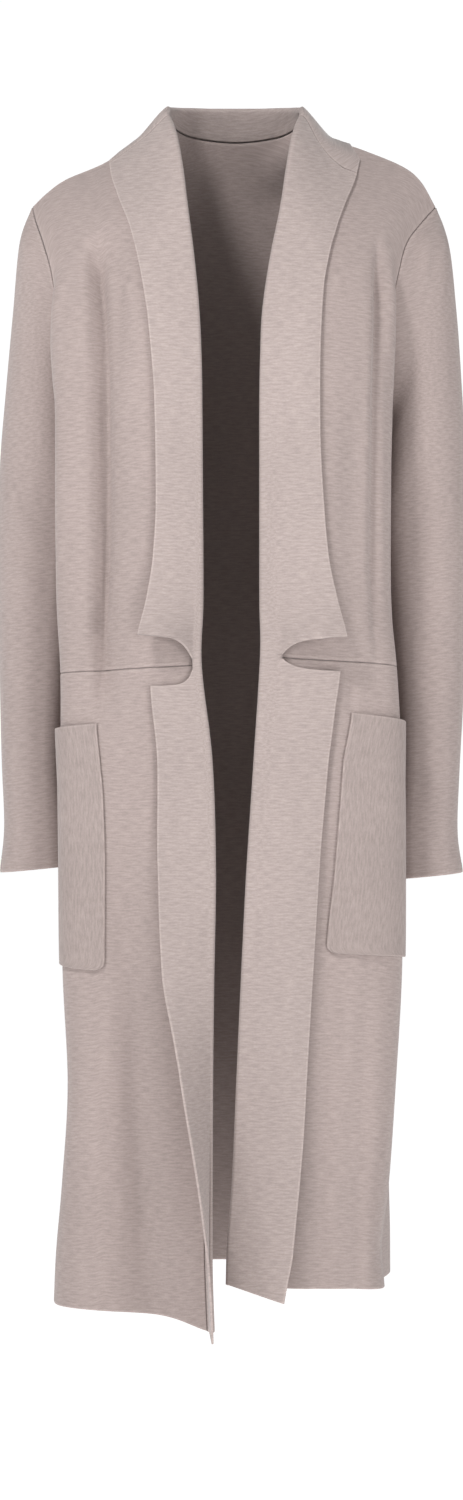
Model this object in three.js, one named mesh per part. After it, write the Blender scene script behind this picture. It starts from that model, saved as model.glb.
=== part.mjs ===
import * as THREE from 'three';

// A long open cardigan coat in double knit, hollow and in the shape that it has when worn.
// Millimetres. X runs to the wearer's left, the front faces -Y and Z is up. The origin is
// where the shoulders carry the coat, between the neck ends of the two shoulder seams.

// Driving sizes
const CLOTH = 2.0; // thickness of the knit
const SEAM_GAP = 0.3; // between two pieces that are sewn edge to edge
const LAYER = CLOTH + SEAM_GAP; // from the middle of a panel to the middle of cloth lying on it
const ROLL = 2.3; // radius of the soft fold where a front band turns back
const BAND_SEAM = 8; // from that fold in to the seam of band and front
const NECK_CENTRE = 2; // x of the middle of the neck
const COLLAR_EASE = 1.2; // the collar's stand turns up out of the neckline this far inside it
const COLLAR_LIFT = { shoulder: 4.6, neck: 6.2 }; // how far its free edge stands off the cloth
const COLLAR_HUMP = { shoulder: 1, neck: 3 }; // and how much more its middle stands off
const COLLAR_START = 0.34; // where band and back collar meet, in rows in front of the shoulder
const COLLAR_SLANT = { right: 0, left: 0.9 }; // how many rows lower they meet at the free edge
const SHOULDER_GAP = 0.6; // between a sleeve and the armhole at the shoulder
const ARM_GAP = 1.2; // from an armhole's edge to the first ring of its sleeve
const UNDERARM_EASE = 6; // how much further out the sleeve hangs under the arm

// How many cells each piece has along and across
const CHEST_ROWS = 9;
const RIB_ROWS = 3;
const RIB_STEP = 0.75; // between the rows from the underarm down
const SKIRT_ROWS = 11;
const NEAR_WAIST = 0.36; // how far from the waist seam the next row stands
const SHOULDER_CELLS = 12;
const NECK_CELLS = 8;
const SLEEVE_ROWS = 15;
const POCKET_ROWS = 8;

const table = (names, rows) =>
  rows.map((row) => Object.fromEntries(names.map((name, column) => [name, row[column]])));

// One row for each section of a front, from the shoulder to the hem. X is measured outwards
// from the middle. Each section runs from the turned edge over chest and flank to the edge of
// the overhang in front of the arm, then tucks back to the side: the armhole, and below it
// the side seam. Its height goes from frontZ to sideZ.
const FRONT_COLUMNS = [
  'frontZ', 'sideZ', 'frontX', 'frontY', 'chestX', 'chestY', 'flankX', 'flankY',
  'edgeX', 'edgeY', 'tuckX', 'tuckY', 'sideX', 'sideY',
];
const RIGHT_FRONT = table(FRONT_COLUMNS, [
  [27, -64, 60.8, -2, 84, 0, 120, 2, 158, 3, 176, 3, 190, 2],
  [0, -80, 52, -43, 82, -33, 118, -27, 152, -23, 171, -20, 186, -18],
  [-35, -103, 46, -70, 78, -64, 114, -57, 146, -50, 164, -46, 178, -41],
  [-78, -130, 41, -92, 78, -90, 113, -82, 145, -73, 160, -67, 170, -60],
  [-125, -165, 35.5, -108, 76, -109, 116, -100, 150, -87, 167, -77, 163, -62],
  [-175, -205, 31, -118, 76, -120, 122, -108, 158, -91, 169, -72, 152, -52],
  [-222, -240, 29, -123, 76, -126, 124, -112, 161, -92, 165, -66, 141, -32],
  [-264, -266, 28.5, -124, 76, -128, 124, -113, 162, -93, 158, -62, 134, 2],
  [-340, -340, 28, -124, 76, -128, 124, -112, 163, -92, 153, -54, 132, 5],
  [-440, -440, 27.5, -121, 76, -125, 126, -112, 162, -91, 152, -50, 136, 5],
  [-501, -511, 29, -119, 77, -122, 126, -111, 158, -92, 153, -52, 141, 5],
  [-590, -590, 19, -121, 76, -124, 128, -115, 157, -97, 156, -60, 145, 5],
  [-690, -690, 16, -120, 76, -125, 128, -117, 156, -99, 157, -64, 147, 5],
  [-790, -790, 17.5, -119, 76, -123, 126, -116, 154, -97, 157, -62, 151, 5],
  [-890, -890, 18.5, -120, 76, -121, 124, -115, 150, -95, 152.5, -58, 149, 5],
  [-980, -980, 18.5, -128, 76, -121, 124, -114, 153, -94, 158.5, -57, 154, 6],
  [-1050, -1045, 18, -145, 72, -124, 124, -114, 157, -92, 164.5, -55, 160, 8],
  [-1101, -1094, 16, -152, 70, -126, 124, -113, 159, -90, 167, -52, 163, 8],
]);
const LEFT_FRONT = table(FRONT_COLUMNS, [
  [27, -64, 64, -2, 88, 0, 122, 2, 160, 3, 178, 3, 192, 2],
  [0, -80, 55, -43, 84, -33, 116, -27, 146, -23, 164, -20, 179, -18],
  [-35, -103, 49, -70, 82, -64, 110, -57, 136, -51, 151, -47, 163, -43],
  [-78, -130, 43, -92, 82, -90, 110, -82, 134, -74, 146, -68, 155, -60],
  [-125, -165, 34, -108, 80, -109, 112, -101, 138, -88, 151, -77, 147, -62],
  [-175, -205, 27, -118, 78, -120, 114, -108, 142, -92, 151, -74, 141, -52],
  [-222, -240, 25, -123, 78, -126, 116, -112, 143, -94, 149, -68, 136, -32],
  [-264, -266, 24.5, -124, 78, -128, 116, -113, 143, -95, 147, -58, 132, 2],
  [-340, -340, 24.5, -124, 78, -128, 116, -113, 143, -95, 145, -52, 131, 5],
  [-440, -440, 24.5, -121, 80, -125, 118, -112, 144, -93, 145, -52, 133, 5],
  [-493, -507, 25, -119, 82, -122, 120, -111, 148, -94, 150, -60, 137, 5],
  [-590, -590, 19, -121, 80, -124, 122, -115, 151, -98, 155, -68, 141, 5],
  [-690, -690, 12.5, -121, 80, -125, 124, -117, 152, -99, 156, -71, 143, 5],
  [-790, -790, 7.5, -119, 76, -124, 124, -116, 151, -97, 156.5, -62, 150, 5],
  [-890, -890, 3, -119, 72, -124, 120, -115, 146, -95, 151, -58, 146, 5],
  [-980, -980, -1, -120, 66, -124, 116, -114, 140, -93, 145, -55, 140, 6],
  [-1035, -1040, -5.5, -121, 62, -124, 112, -113, 134, -91, 138, -53, 134, 6],
  [-1072, -1086, -6.7, -122, 60, -124, 111, -112, 136, -90, 141, -50, 137, 6],
]);
// How far each point of a section has come from frontZ to sideZ
const RIGHT_FALL = [0, 0.26, 0.53, 0.71, 0.85, 1];
const LEFT_FALL = [0, 0.27, 0.4, 0.57, 0.73, 1];
const UNDERARM_ROW = 7;
const WAIST_ROW = 10;
const HEM_ROW = 17;

// One row for each section of the back, at the same rows as the fronts. armX, armY and armZ
// give the armhole down to the underarm; below it the side seam is the fronts'.
const BACK = table(
  ['centreZ', 'centreY', 'spineX', 'spineY', 'bladeX', 'bladeY', 'wingX', 'wingY', 'armX', 'armY', 'armZ'],
  [
    [6, 66, 42, 56, 62, 30, 70, 6, 190, 2, -64],
    [-28, 79, 45, 75, 95, 50, 148, 32, 187, 20, -80],
    [-72, 92, 45, 91, 95, 77, 145, 57, 180, 42, -103],
    [-116, 101, 45, 102, 95, 93, 143, 77, 171, 58, -130],
    [-156, 106, 45, 108, 95, 102, 144, 87, 163, 64, -165],
    [-198, 109, 45, 111, 95, 105, 141, 90, 152, 54, -205],
    [-236, 109, 45, 111, 95, 106, 139, 86, 141, 34, -240],
    [-266, 108, 45, 110, 95, 105, 136, 82, 134, 2, -266],
    [-340, 102, 45, 105, 95, 100, 134, 78, 0, 0, 0],
    [-440, 97, 45, 100, 95, 97, 135, 77, 0, 0, 0],
    [-504, 99, 46, 102, 97, 99, 137, 78, 0, 0, 0],
    [-590, 108, 48, 110, 100, 105, 140, 81, 0, 0, 0],
    [-690, 114, 48, 113, 102, 109, 143, 83, 0, 0, 0],
    [-790, 115, 48, 117, 103, 110, 147, 84, 0, 0, 0],
    [-885, 115, 48, 112, 102, 112, 146, 84, 0, 0, 0],
    [-970, 115, 48, 118, 101, 110, 146, 83, 0, 0, 0],
    [-1032, 114, 48, 120, 101, 109, 148, 82, 0, 0, 0],
    [-1077, 113, 48, 121, 101, 108, 148, 82, 0, 0, 0],
  ],
);
const BACK_FALL = [0, 0.12, 0.4, 0.75, 1];

// The free edge of each front band by height: its x outwards, how far it lies off the front,
// and how far it stands away to the front
const BAND_COLUMNS = ['z', 'x', 'lift', 'stand'];
const RIGHT_LAPEL = table(BAND_COLUMNS, [
  [-10, 116, 3, 0],
  [-31, 115, 3, 0],
  [-55, 108.7, 3, 0],
  [-95, 94.4, 3.2, 0],
  [-136, 85.1, 3.6, 0],
  [-177, 78.4, 4, 0],
  [-244, 72.7, 4.6, 0],
  [-350, 70.9, 5, 0],
  [-405, 73.9, 6, 1],
  [-441, 79.5, 8, 3],
  [-475, 86.1, 10, 6],
]);
const RIGHT_FLAP = table(BAND_COLUMNS, [
  [-523, 75.8, 4, 0],
  [-588, 70, 4, 1],
  [-681, 70, 5, 2],
  [-791, 67.3, 5, 13],
  [-856, 58, 5, 31],
  [-902, 51.6, 5, 40],
  [-948, 43.8, 5, 44],
  [-994, 36, 5, 46],
  [-1045, 28, 5, 46],
  [-1120, 22, 5, 46],
]);
const LEFT_LAPEL = table(BAND_COLUMNS, [
  [-20, 120, 3, 0],
  [-47, 113.2, 3, 0],
  [-68, 104.8, 3, 0],
  [-88, 97.4, 3.2, 0],
  [-114, 90, 3.6, 0],
  [-148, 83.7, 4, 0],
  [-193, 80.5, 4.6, 0],
  [-239, 79.5, 4.6, 0],
  [-303, 80, 5, 0],
  [-368, 83.7, 5, 0],
  [-405, 87.4, 6, 1],
  [-441, 93.8, 7, 2],
  [-478, 99.8, 8, 4],
]);
const LEFT_FLAP = table(BAND_COLUMNS, [
  [-507, 98, 4, 1],
  [-540, 93.8, 4, 1],
  [-589, 87.8, 4, 1],
  [-671, 80.9, 4, 1],
  [-764, 75.4, 4, 2],
  [-856, 70, 4, 3],
  [-948, 64.9, 5, 6],
  [-1040, 56.6, 5, 11],
  [-1090, 47.3, 5, 16],
]);
// The slit at the waist of each band: where it starts from the fold, the height of that inner
// end, how tall it is there, how far the edges above and below have parted at the free edge,
// and the distance in which each of them does so
const RIGHT_SLIT = { from: 9, z: -500, tall: 9, above: 26, below: 17, aboveIn: 11, belowIn: 6 };
const LEFT_SLIT = { from: 21, z: -493, tall: 4, above: 18, below: 12, aboveIn: 13, belowIn: 13 };
const STAND_LEAN = 0.17; // how far a band leans to the middle for each millimetre of its stand
const FLAP_DROP = { right: 5, left: 12 }; // how far the free corner hangs below the hem
const HEM_DIP = { right: 11, left: 0 }; // how far the turned edge dips below the hem
const DIP_WIDTH = 34;

// The soft upright folds of the fronts: where they run, how deep they are, and how wide they
// are on the side away from the middle and on the side towards it
const FOLD_COLUMNS = ['topX', 'bottomX', 'topZ', 'bottomZ', 'depth', 'outer', 'inner'];
const RIGHT_FOLDS = table(FOLD_COLUMNS, [
  [131, 121, -50, -560, 10, 7, 24],
  [106, 108, -110, -260, 3, 9, 9],
  [104, 78, -620, -1130, 9, 34, 22],
]);
const LEFT_FOLDS = table(FOLD_COLUMNS, [
  [139, 133, -45, -520, 6, 14, 6],
  [112, 108, -240, -480, 2.5, 12, 12],
  [96, 80, -620, -1120, 4, 16, 16],
  [126, 112, -780, -1120, 5, 7, 20],
]);
const FOLD_FADE = 60; // in which a fold starts and ends
const FOLDED_FRONT = { from: -70, fade: 20 }; // folds are worked in where y is less than this

// Each sleeve by rings: the outer and the inner point of a ring, the y of its middle and half
// its depth
const SLEEVE_COLUMNS = ['outerX', 'outerZ', 'innerX', 'innerZ', 'middleY', 'halfDepth'];
const RIGHT_SLEEVE = table(SLEEVE_COLUMNS, [
  [201, -96, 148, -280, 4, 57],
  [208, -165, 147, -308, 8, 59],
  [214.5, -235, 146, -338, 10, 60],
  [220, -300, 146, -368, 11, 57],
  [223, -370, 151, -412, 10, 54],
  [222, -440, 156.5, -467, 6, 51],
  [220, -520, 161, -532, 0, 49],
  [218, -590, 163.5, -596, -6, 47],
  [215.5, -652, 159, -652, -11, 45],
  [219.5, -695, 157.5, -689, -14, 43.5],
]);
const LEFT_SLEEVE = table(SLEEVE_COLUMNS, [
  [203, -96, 145, -280, 4, 57],
  [211.5, -165, 144, -308, 8, 59],
  [216.5, -235, 143, -338, 10, 60],
  [220, -300, 143.5, -368, 11, 57],
  [221, -370, 147, -412, 10, 54],
  [220, -440, 151.5, -467, 6, 51],
  [218, -520, 156, -532, 0, 49],
  [213.5, -600, 157, -604, -6, 47],
  [211.5, -657, 152.5, -659, -11, 45],
  [216.5, -695, 155, -701, -14, 43.5],
]);

// The back collar on its way round the neck: its turned edge, and where the middle and the
// free edge of its fall lie on the back, by x and by the back's rows
const COLLAR = table(
  ['foldX', 'foldY', 'foldZ', 'midX', 'midRow', 'freeX', 'freeRow'],
  [
    [60, 3, 29, 86, 0.02, 109, 0.02],
    [50, 32, 34, 70, 0.36, 88, 0.6],
    [28, 51, 37, 42, 0.6, 52, 0.98],
    [0, 57, 38, 0, 0.66, 0, 1.1],
  ],
);

// Each patch pocket: its top and bottom at the inner edge and at the side, how far it stops
// short of the side seam, the first of the skirt's columns that it covers, and the x of its
// inner edge by height
const RIGHT_POCKET = {
  topFront: -555, topSide: -563, bottomFront: -783, bottomSide: -774, short: 9, column: 5,
  inner: table(['z', 'x'], [[-555, 125], [-588, 122], [-622, 119], [-783, 119]]),
};
const LEFT_POCKET = {
  topFront: -545, topSide: -556, bottomFront: -767, bottomSide: -775, short: 9, column: 4,
  inner: table(['z', 'x'], [[-545, 108.5], [-589, 101], [-690, 94], [-767, 86]]),
};
const POCKET_MOUTH = 2.5; // how far the open top stands off the skirt
const POCKET_EASE = 0.7; // and how loosely the pocket lies elsewhere

// Plain vector and curve helpers
const vec = (x, y, z) => new THREE.Vector3(x, y, z);
const mix = (a, b, t) => a + (b - a) * t;
const blend = (a, b, t) => a.clone().lerp(b, t);
const clamp = (value, low, high) => Math.min(high, Math.max(low, value));

function catmull(p, q, r, s, t) {
  const at = (a, b, c, d) =>
    0.5 * (2 * b + (c - a) * t + (2 * a - 5 * b + 4 * c - d) * t * t + (3 * b - a - 3 * c + d) * t ** 3);
  return vec(at(p.x, q.x, r.x, s.x), at(p.y, q.y, r.y, s.y), at(p.z, q.z, r.z, s.z));
}

// A point on the smooth curve through points, t counting them. Past an end stands the point
// beyond it, or else the end's own mirror image.
function along(points, t, beforeFirst, afterLast) {
  const last = points.length - 1;
  const i = clamp(Math.floor(t), 0, last - 1);
  const mirrored = (end, next) => end.clone().multiplyScalar(2).sub(next);
  const p = i > 0 ? points[i - 1] : beforeFirst ?? mirrored(points[0], points[1]);
  const s = i < last - 1 ? points[i + 2] : afterLast ?? mirrored(points[last], points[last - 1]);
  return catmull(p, points[i], points[i + 1], s, t - i);
}

// The same curve cut into equal lengths
function evenly(points, pieces) {
  const { spots, reach } = measured(points, (points.length - 1) * 24);
  const cut = [];
  for (let n = 0, k = 0; n <= pieces; n += 1) {
    const want = (reach[reach.length - 1] * n) / pieces;
    while (k < spots.length - 2 && reach[k + 1] < want) k += 1;
    cut.push(blend(spots[k], spots[k + 1], clamp((want - reach[k]) / (reach[k + 1] - reach[k]), 0, 1)));
  }
  return cut;
}

// Spots along the curve, as many between each two of its points, and how far along each lies
function measured(points, pieces, beforeFirst, afterLast) {
  const spots = Array.from({ length: pieces + 1 }, (_, k) =>
    along(points, ((points.length - 1) * k) / pieces, beforeFirst, afterLast));
  const reach = [0];
  for (let k = 1; k < spots.length; k += 1) reach.push(reach[k - 1] + spots[k].distanceTo(spots[k - 1]));
  return { spots, reach };
}

// A smooth value from a table by height, which falls from row to row
function byHeight(rows, z, column) {
  const last = rows.length - 1;
  if (z >= rows[0].z) return rows[0][column];
  if (z <= rows[last].z) return rows[last][column];
  const i = rows.findIndex((row, k) => z <= row.z && z > rows[k + 1].z);
  const t = (rows[i].z - z) / (rows[i].z - rows[i + 1].z);
  const before = rows[Math.max(i - 1, 0)][column];
  const after = rows[Math.min(i + 2, last)][column];
  return catmull(
    vec(before, 0, 0), vec(rows[i][column], 0, 0), vec(rows[i + 1][column], 0, 0), vec(after, 0, 0), t,
  ).x;
}

// A smooth surface through rows of points. row counts the table's rows down the garment, and
// far is the distance from the row's first point along the section.
class Surface {
  constructor(sections, facing, shift = () => 0) {
    this.pieces = 60;
    this.rows = sections.map(({ points, beforeFirst, afterLast }) =>
      measured(points, this.pieces, beforeFirst, afterLast));
    this.facing = facing;
    this.shift = shift;
  }

  // How far along its section a spot lies, spots being counted from the front edge
  reach(row, spot) {
    const i = clamp(Math.floor(row), 0, this.rows.length - 2);
    const at = (line) => {
      const k = clamp(Math.floor(spot), 0, this.pieces - 1);
      return mix(line.reach[k], line.reach[k + 1], spot - k);
    };
    return mix(at(this.rows[i]), at(this.rows[i + 1]), row - i);
  }

  length(row) {
    return this.reach(row, this.pieces);
  }

  // The share of a section's spots that lies before a distance from the front edge
  shareAt(row, far) {
    let low = 0;
    let high = this.pieces;
    for (let turn = 0; turn < 24; turn += 1) {
      const middle = (low + high) / 2;
      if (this.reach(row, middle) < far) low = middle;
      else high = middle;
    }
    return (low + high) / 2 / this.pieces;
  }

  plain(row, share) {
    const i = clamp(Math.floor(row), 0, this.rows.length - 2);
    const picks = [i - 1, i, i + 1, i + 2].map((k) => {
      const { spots } = this.rows[clamp(k, 0, this.rows.length - 1)];
      return along(spots, clamp(share, 0, 1) * this.pieces);
    });
    if (i === 0) picks[0] = picks[1].clone().multiplyScalar(2).sub(picks[2]);
    if (i === this.rows.length - 2) picks[3] = picks[2].clone().multiplyScalar(2).sub(picks[1]);
    return catmull(...picks, row - i);
  }

  normal(row, share) {
    const REACH = 0.025;
    const STEP = 0.12;
    const top = Math.max(row - STEP, 0);
    const bottom = Math.min(row + STEP, this.rows.length - 1);
    const before = this.plain(row, Math.max(share - REACH, 0));
    const across = this.plain(row, Math.min(share + REACH, 1)).sub(before);
    const down = this.plain(bottom, share).sub(this.plain(top, share));
    return across.cross(down).normalize().multiplyScalar(this.facing);
  }

  // The point at a distance from the front edge, with the folds worked in, moved out by lift
  at(row, far, lift = 0) {
    return this.byShare(row, this.shareAt(row, far), lift);
  }

  byShare(row, share, lift = 0) {
    const point = this.plain(row, share);
    return point.addScaledVector(this.normal(row, share), lift + this.shift(point));
  }

  // The row at which the section stands at height z, at a distance from the front edge
  rowAt(z, far) {
    let low = 0;
    let high = this.rows.length - 1;
    for (let turn = 0; turn < 30; turn += 1) {
      const middle = (low + high) / 2;
      if (this.plain(middle, this.shareAt(middle, far)).z > z) low = middle;
      else high = middle;
    }
    return (low + high) / 2;
  }
}

// Soft troughs that run down a front. Each moves the cloth in along its normal.
function foldShift(folds) {
  return (point) => {
    let shift = 0;
    for (const fold of folds) {
      const share = (fold.topZ - point.z) / (fold.topZ - fold.bottomZ);
      const off = Math.abs(point.x) - mix(fold.topX, fold.bottomX, clamp(share, 0, 1));
      const width = off > 0 ? fold.outer : fold.inner;
      const begun = clamp((fold.topZ - point.z) / FOLD_FADE, 0, 1);
      const left = clamp((point.z - fold.bottomZ) / FOLD_FADE, 0, 1);
      shift -= fold.depth * begun * left * Math.exp(-((off / width) ** 2));
    }
    return shift * clamp((FOLDED_FRONT.from - point.y) / FOLDED_FRONT.fade, 0, 1);
  };
}

// The points of one front section, given outwards and put on the wearer's right or left
function frontPoints(row, fall, sign) {
  const names = ['front', 'chest', 'flank', 'edge', 'tuck', 'side'];
  return names.map((name, k) =>
    vec(sign * row[`${name}X`], row[`${name}Y`], mix(row.frontZ, row.sideZ, fall[k])));
}

const backPoint = (row, name, k, sign, sideZ) =>
  vec(NECK_CENTRE + sign * row[`${name}X`], row[`${name}Y`], mix(row.centreZ, sideZ, BACK_FALL[k]));

function frontSurface(rows, fall, folds, sign) {
  const sections = rows.map((row, i) => ({
    points: frontPoints(row, fall, sign),
    afterLast: i >= UNDERARM_ROW ? backPoint(BACK[i], 'wing', 3, sign, row.sideZ) : undefined,
  }));
  return new Surface(sections, -sign, foldShift(folds));
}

const right = {
  sign: -1, rows: RIGHT_FRONT, fall: RIGHT_FALL, lapel: RIGHT_LAPEL, flap: RIGHT_FLAP,
  slit: RIGHT_SLIT, sleeve: RIGHT_SLEEVE, pocket: RIGHT_POCKET, drop: FLAP_DROP.right,
  dip: HEM_DIP.right, slant: COLLAR_SLANT.right,
};
const left = {
  sign: 1, rows: LEFT_FRONT, fall: LEFT_FALL, lapel: LEFT_LAPEL, flap: LEFT_FLAP,
  slit: LEFT_SLIT, sleeve: LEFT_SLEEVE, pocket: LEFT_POCKET, drop: FLAP_DROP.left,
  dip: HEM_DIP.left, slant: COLLAR_SLANT.left,
};
right.front = frontSurface(right.rows, right.fall, RIGHT_FOLDS, right.sign);
left.front = frontSurface(left.rows, left.fall, LEFT_FOLDS, left.sign);

// A grid of middle points and the normals there. gridNormals works them out from neighbours.
function gridNormals(points, facing, closed = false) {
  const rows = points.length;
  const columns = points[0].length;
  const column = (j) => (closed ? (j + columns) % columns : clamp(j, 0, columns - 1));
  return points.map((line, i) => line.map((_, j) => {
    const across = line[column(j + 1)].clone().sub(line[column(j - 1)]);
    const down = points[Math.min(i + 1, rows - 1)][j].clone().sub(points[Math.max(i - 1, 0)][j]);
    return across.cross(down).normalize().multiplyScalar(facing);
  }));
}

// A wall of cloth: the grid moved half a thickness each way, with its edges closed. keep says
// which cells the piece has, so that a slit stays open.
function wall({ points, normals, closed = false, keep = () => true }) {
  const rows = points.length;
  const columns = points[0].length;
  const cells = closed ? columns : columns - 1;
  const position = [];
  for (const half of [CLOTH / 2, -CLOTH / 2]) {
    for (let i = 0; i < rows; i += 1) {
      for (let j = 0; j < columns; j += 1) {
        position.push(...points[i][j].clone().addScaledVector(normals[i][j], half).toArray());
      }
    }
  }
  const outer = (i, j) => i * columns + (j % columns);
  const inner = (i, j) => rows * columns + outer(i, j);
  const has = (i, j) => {
    const column = closed ? (j + cells) % cells : j;
    return i >= 0 && i < rows - 1 && column >= 0 && column < cells && keep(i, column);
  };
  const middle = [Math.floor(rows / 2), Math.floor(cells / 2)];
  const here = points[middle[0]][middle[1]];
  const next = points[middle[0]][(middle[1] + 1) % columns].clone().sub(here);
  const below = points[middle[0] + 1][middle[1]].clone().sub(here);
  const turned = next.cross(below).dot(normals[middle[0]][middle[1]]) < 0;
  const index = [];
  const quad = (a, b, c, d) => {
    if (turned) index.push(a, c, b, a, d, c);
    else index.push(a, b, c, a, c, d);
  };
  for (let i = 0; i < rows - 1; i += 1) {
    for (let j = 0; j < cells; j += 1) {
      if (!has(i, j)) continue;
      quad(outer(i, j), outer(i, j + 1), outer(i + 1, j + 1), outer(i + 1, j));
      quad(inner(i, j), inner(i + 1, j), inner(i + 1, j + 1), inner(i, j + 1));
      const rim = (p, q) => quad(outer(...q), outer(...p), inner(...p), inner(...q));
      if (!has(i - 1, j)) rim([i, j], [i, j + 1]);
      if (!has(i, j + 1)) rim([i, j + 1], [i + 1, j + 1]);
      if (!has(i + 1, j)) rim([i + 1, j + 1], [i + 1, j]);
      if (!has(i, j - 1)) rim([i + 1, j], [i, j]);
    }
  }
  const used = [...new Set(index)].sort((a, b) => a - b);
  const renumber = new Map(used.map((old, fresh) => [old, fresh]));
  const geometry = new THREE.BufferGeometry();
  const kept = used.flatMap((old) => position.slice(old * 3, old * 3 + 3));
  geometry.setAttribute('position', new THREE.Float32BufferAttribute(kept, 3));
  geometry.setIndex(index.map((old) => renumber.get(old)));
  geometry.computeVertexNormals();
  return geometry;
}

// Rows from the shoulder to the waist and on to the hem. All panels share them, so that their
// seams run side by side.
const share = (i, count) => i / count;
const upperRows = [
  0,
  COLLAR_START / 2,
  ...Array.from({ length: CHEST_ROWS + 1 }, (_, i) => mix(COLLAR_START, UNDERARM_ROW, share(i, CHEST_ROWS))),
  ...Array.from({ length: RIB_ROWS }, (_, i) => UNDERARM_ROW + RIB_STEP * (i + 1)),
  WAIST_ROW - NEAR_WAIST,
  WAIST_ROW,
];
const UPPER_ROWS = upperRows.length - 1;
const skirtRows = [
  WAIST_ROW,
  WAIST_ROW + NEAR_WAIST,
  ...Array.from({ length: SKIRT_ROWS }, (_, i) => mix(WAIST_ROW, HEM_ROW, share(i + 1, SKIRT_ROWS))),
];

// The columns of a front: the share of a section's spots between its seam with the band and
// the side
const columnShare = (start, j) => mix(start, 1, share(j, SHOULDER_CELLS));

// The turned edge near the hem dips a little
function dipAt(side, row, far) {
  const near = clamp((row - (HEM_ROW - 3)) / 3, 0, 1);
  return side.dip * near * near * Math.exp(-((far / DIP_WIDTH) ** 2));
}

// The rows of a band are its panel's, with more of them towards the slit at the waist
const SLIT_END = 0.03;
const lapelRows = [...upperRows.slice(2, -1), WAIST_ROW - SLIT_END];
const flapRows = [WAIST_ROW + SLIT_END, ...skirtRows.slice(1)];

// A front panel from its seam with the band out to the side, between two sets of rows
function frontGrid(side, rows) {
  const start = BAND_SEAM + SEAM_GAP;
  const points = [];
  const normals = [];
  for (const row of rows) {
    const first = side.front.shareAt(row, start);
    const line = [];
    const facing = [];
    for (let j = 0; j <= SHOULDER_CELLS; j += 1) {
      const place = columnShare(first, j);
      const far = side.front.reach(row, place * side.front.pieces);
      line.push(side.front.byShare(row, place).add(vec(0, 0, -dipAt(side, row, far))));
      facing.push(side.front.normal(row, place));
    }
    points.push(line);
    normals.push(facing);
  }
  return { points, normals };
}

// Draws an edge of a grid back by half a seam gap
function pull(grid, edge) {
  const { points } = grid;
  const lastRow = points.length - 1;
  const lastColumn = points[0].length - 1;
  const shorten = (i, j, k, l) => {
    const direction = points[k][l].clone().sub(points[i][j]).normalize();
    points[i][j].addScaledVector(direction, SEAM_GAP / 2 + 0.02);
  };
  if (edge === 'top') points[0].forEach((_, j) => shorten(0, j, 1, j));
  if (edge === 'bottom') points[lastRow].forEach((_, j) => shorten(lastRow, j, lastRow - 1, j));
  if (edge === 'first') points.forEach((_, i) => shorten(i, 0, i, 1));
  if (edge === 'last') points.forEach((_, i) => shorten(i, lastColumn, i, lastColumn - 1));
}

// Two pieces that meet at a seam take the mean of their normals there, so that their walls end
// face to face
function agree(first, second) {
  const mean = first.clone().add(second).normalize();
  first.copy(mean);
  second.copy(mean);
}

// The back: its columns run from the right side over the neck to the left side
function backRow(index, leftShoulder, rightShoulder) {
  const row = BACK[index];
  const armed = index <= UNDERARM_ROW;
  const end = (side) => {
    const front = side.rows[index];
    return armed
      ? vec(side.sign * (row.armX + side.rows[index].sideX - RIGHT_FRONT[index].sideX), row.armY, row.armZ)
      : vec(side.sign * front.sideX, front.sideY, front.sideZ);
  };
  const half = (side) => {
    const tip = end(side);
    const wing = backPoint(row, 'wing', 3, side.sign, tip.z);
    const blade = backPoint(row, 'blade', 2, side.sign, tip.z);
    const spine = backPoint(row, 'spine', 1, side.sign, tip.z);
    return [tip, wing, blade, spine];
  };
  const centre = vec(NECK_CENTRE, row.centreY, row.centreZ);
  if (index === 0) {
    const NECK_FALL = { blade: 0.3, spine: 0.75 };
    const onNeck = (side, shoulder, name) => vec(
      NECK_CENTRE + side.sign * row[`${name}X`],
      row[`${name}Y`],
      mix(shoulder[0].z, row.centreZ, NECK_FALL[name]),
    );
    const neck = (side, shoulder) =>
      [shoulder[0], onNeck(side, shoulder, 'blade'), onNeck(side, shoulder, 'spine')];
    const ring = [...neck(right, rightShoulder), centre, ...neck(left, leftShoulder).reverse()];
    const middle = evenly(ring, NECK_CELLS);
    return [...[...rightShoulder].reverse(), ...middle.slice(1, -1), ...leftShoulder];
  }
  const points = [...half(right), centre, ...half(left).reverse()];
  const tuck = (side) => frontPoints(side.rows[index], side.fall, side.sign)[4];
  return measured(
    points, SHOULDER_CELLS * 2 + NECK_CELLS,
    index >= UNDERARM_ROW ? tuck(right) : undefined,
    index >= UNDERARM_ROW ? tuck(left) : undefined,
  ).spots;
}

function backGrid(rightUpper, leftUpper) {
  const keyRows = BACK.map((_, index) => backRow(index, leftUpper.points[0], rightUpper.points[0]));
  const columns = keyRows[0].length;
  const column = (j) => keyRows.map((line) => line[j]);
  const rows = [...upperRows, ...skirtRows.slice(1)];
  const points = rows.map((row) =>
    Array.from({ length: columns }, (_, j) => along(column(j), row)));
  return { points, normals: gridNormals(points, 1), keyRows };
}

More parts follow.
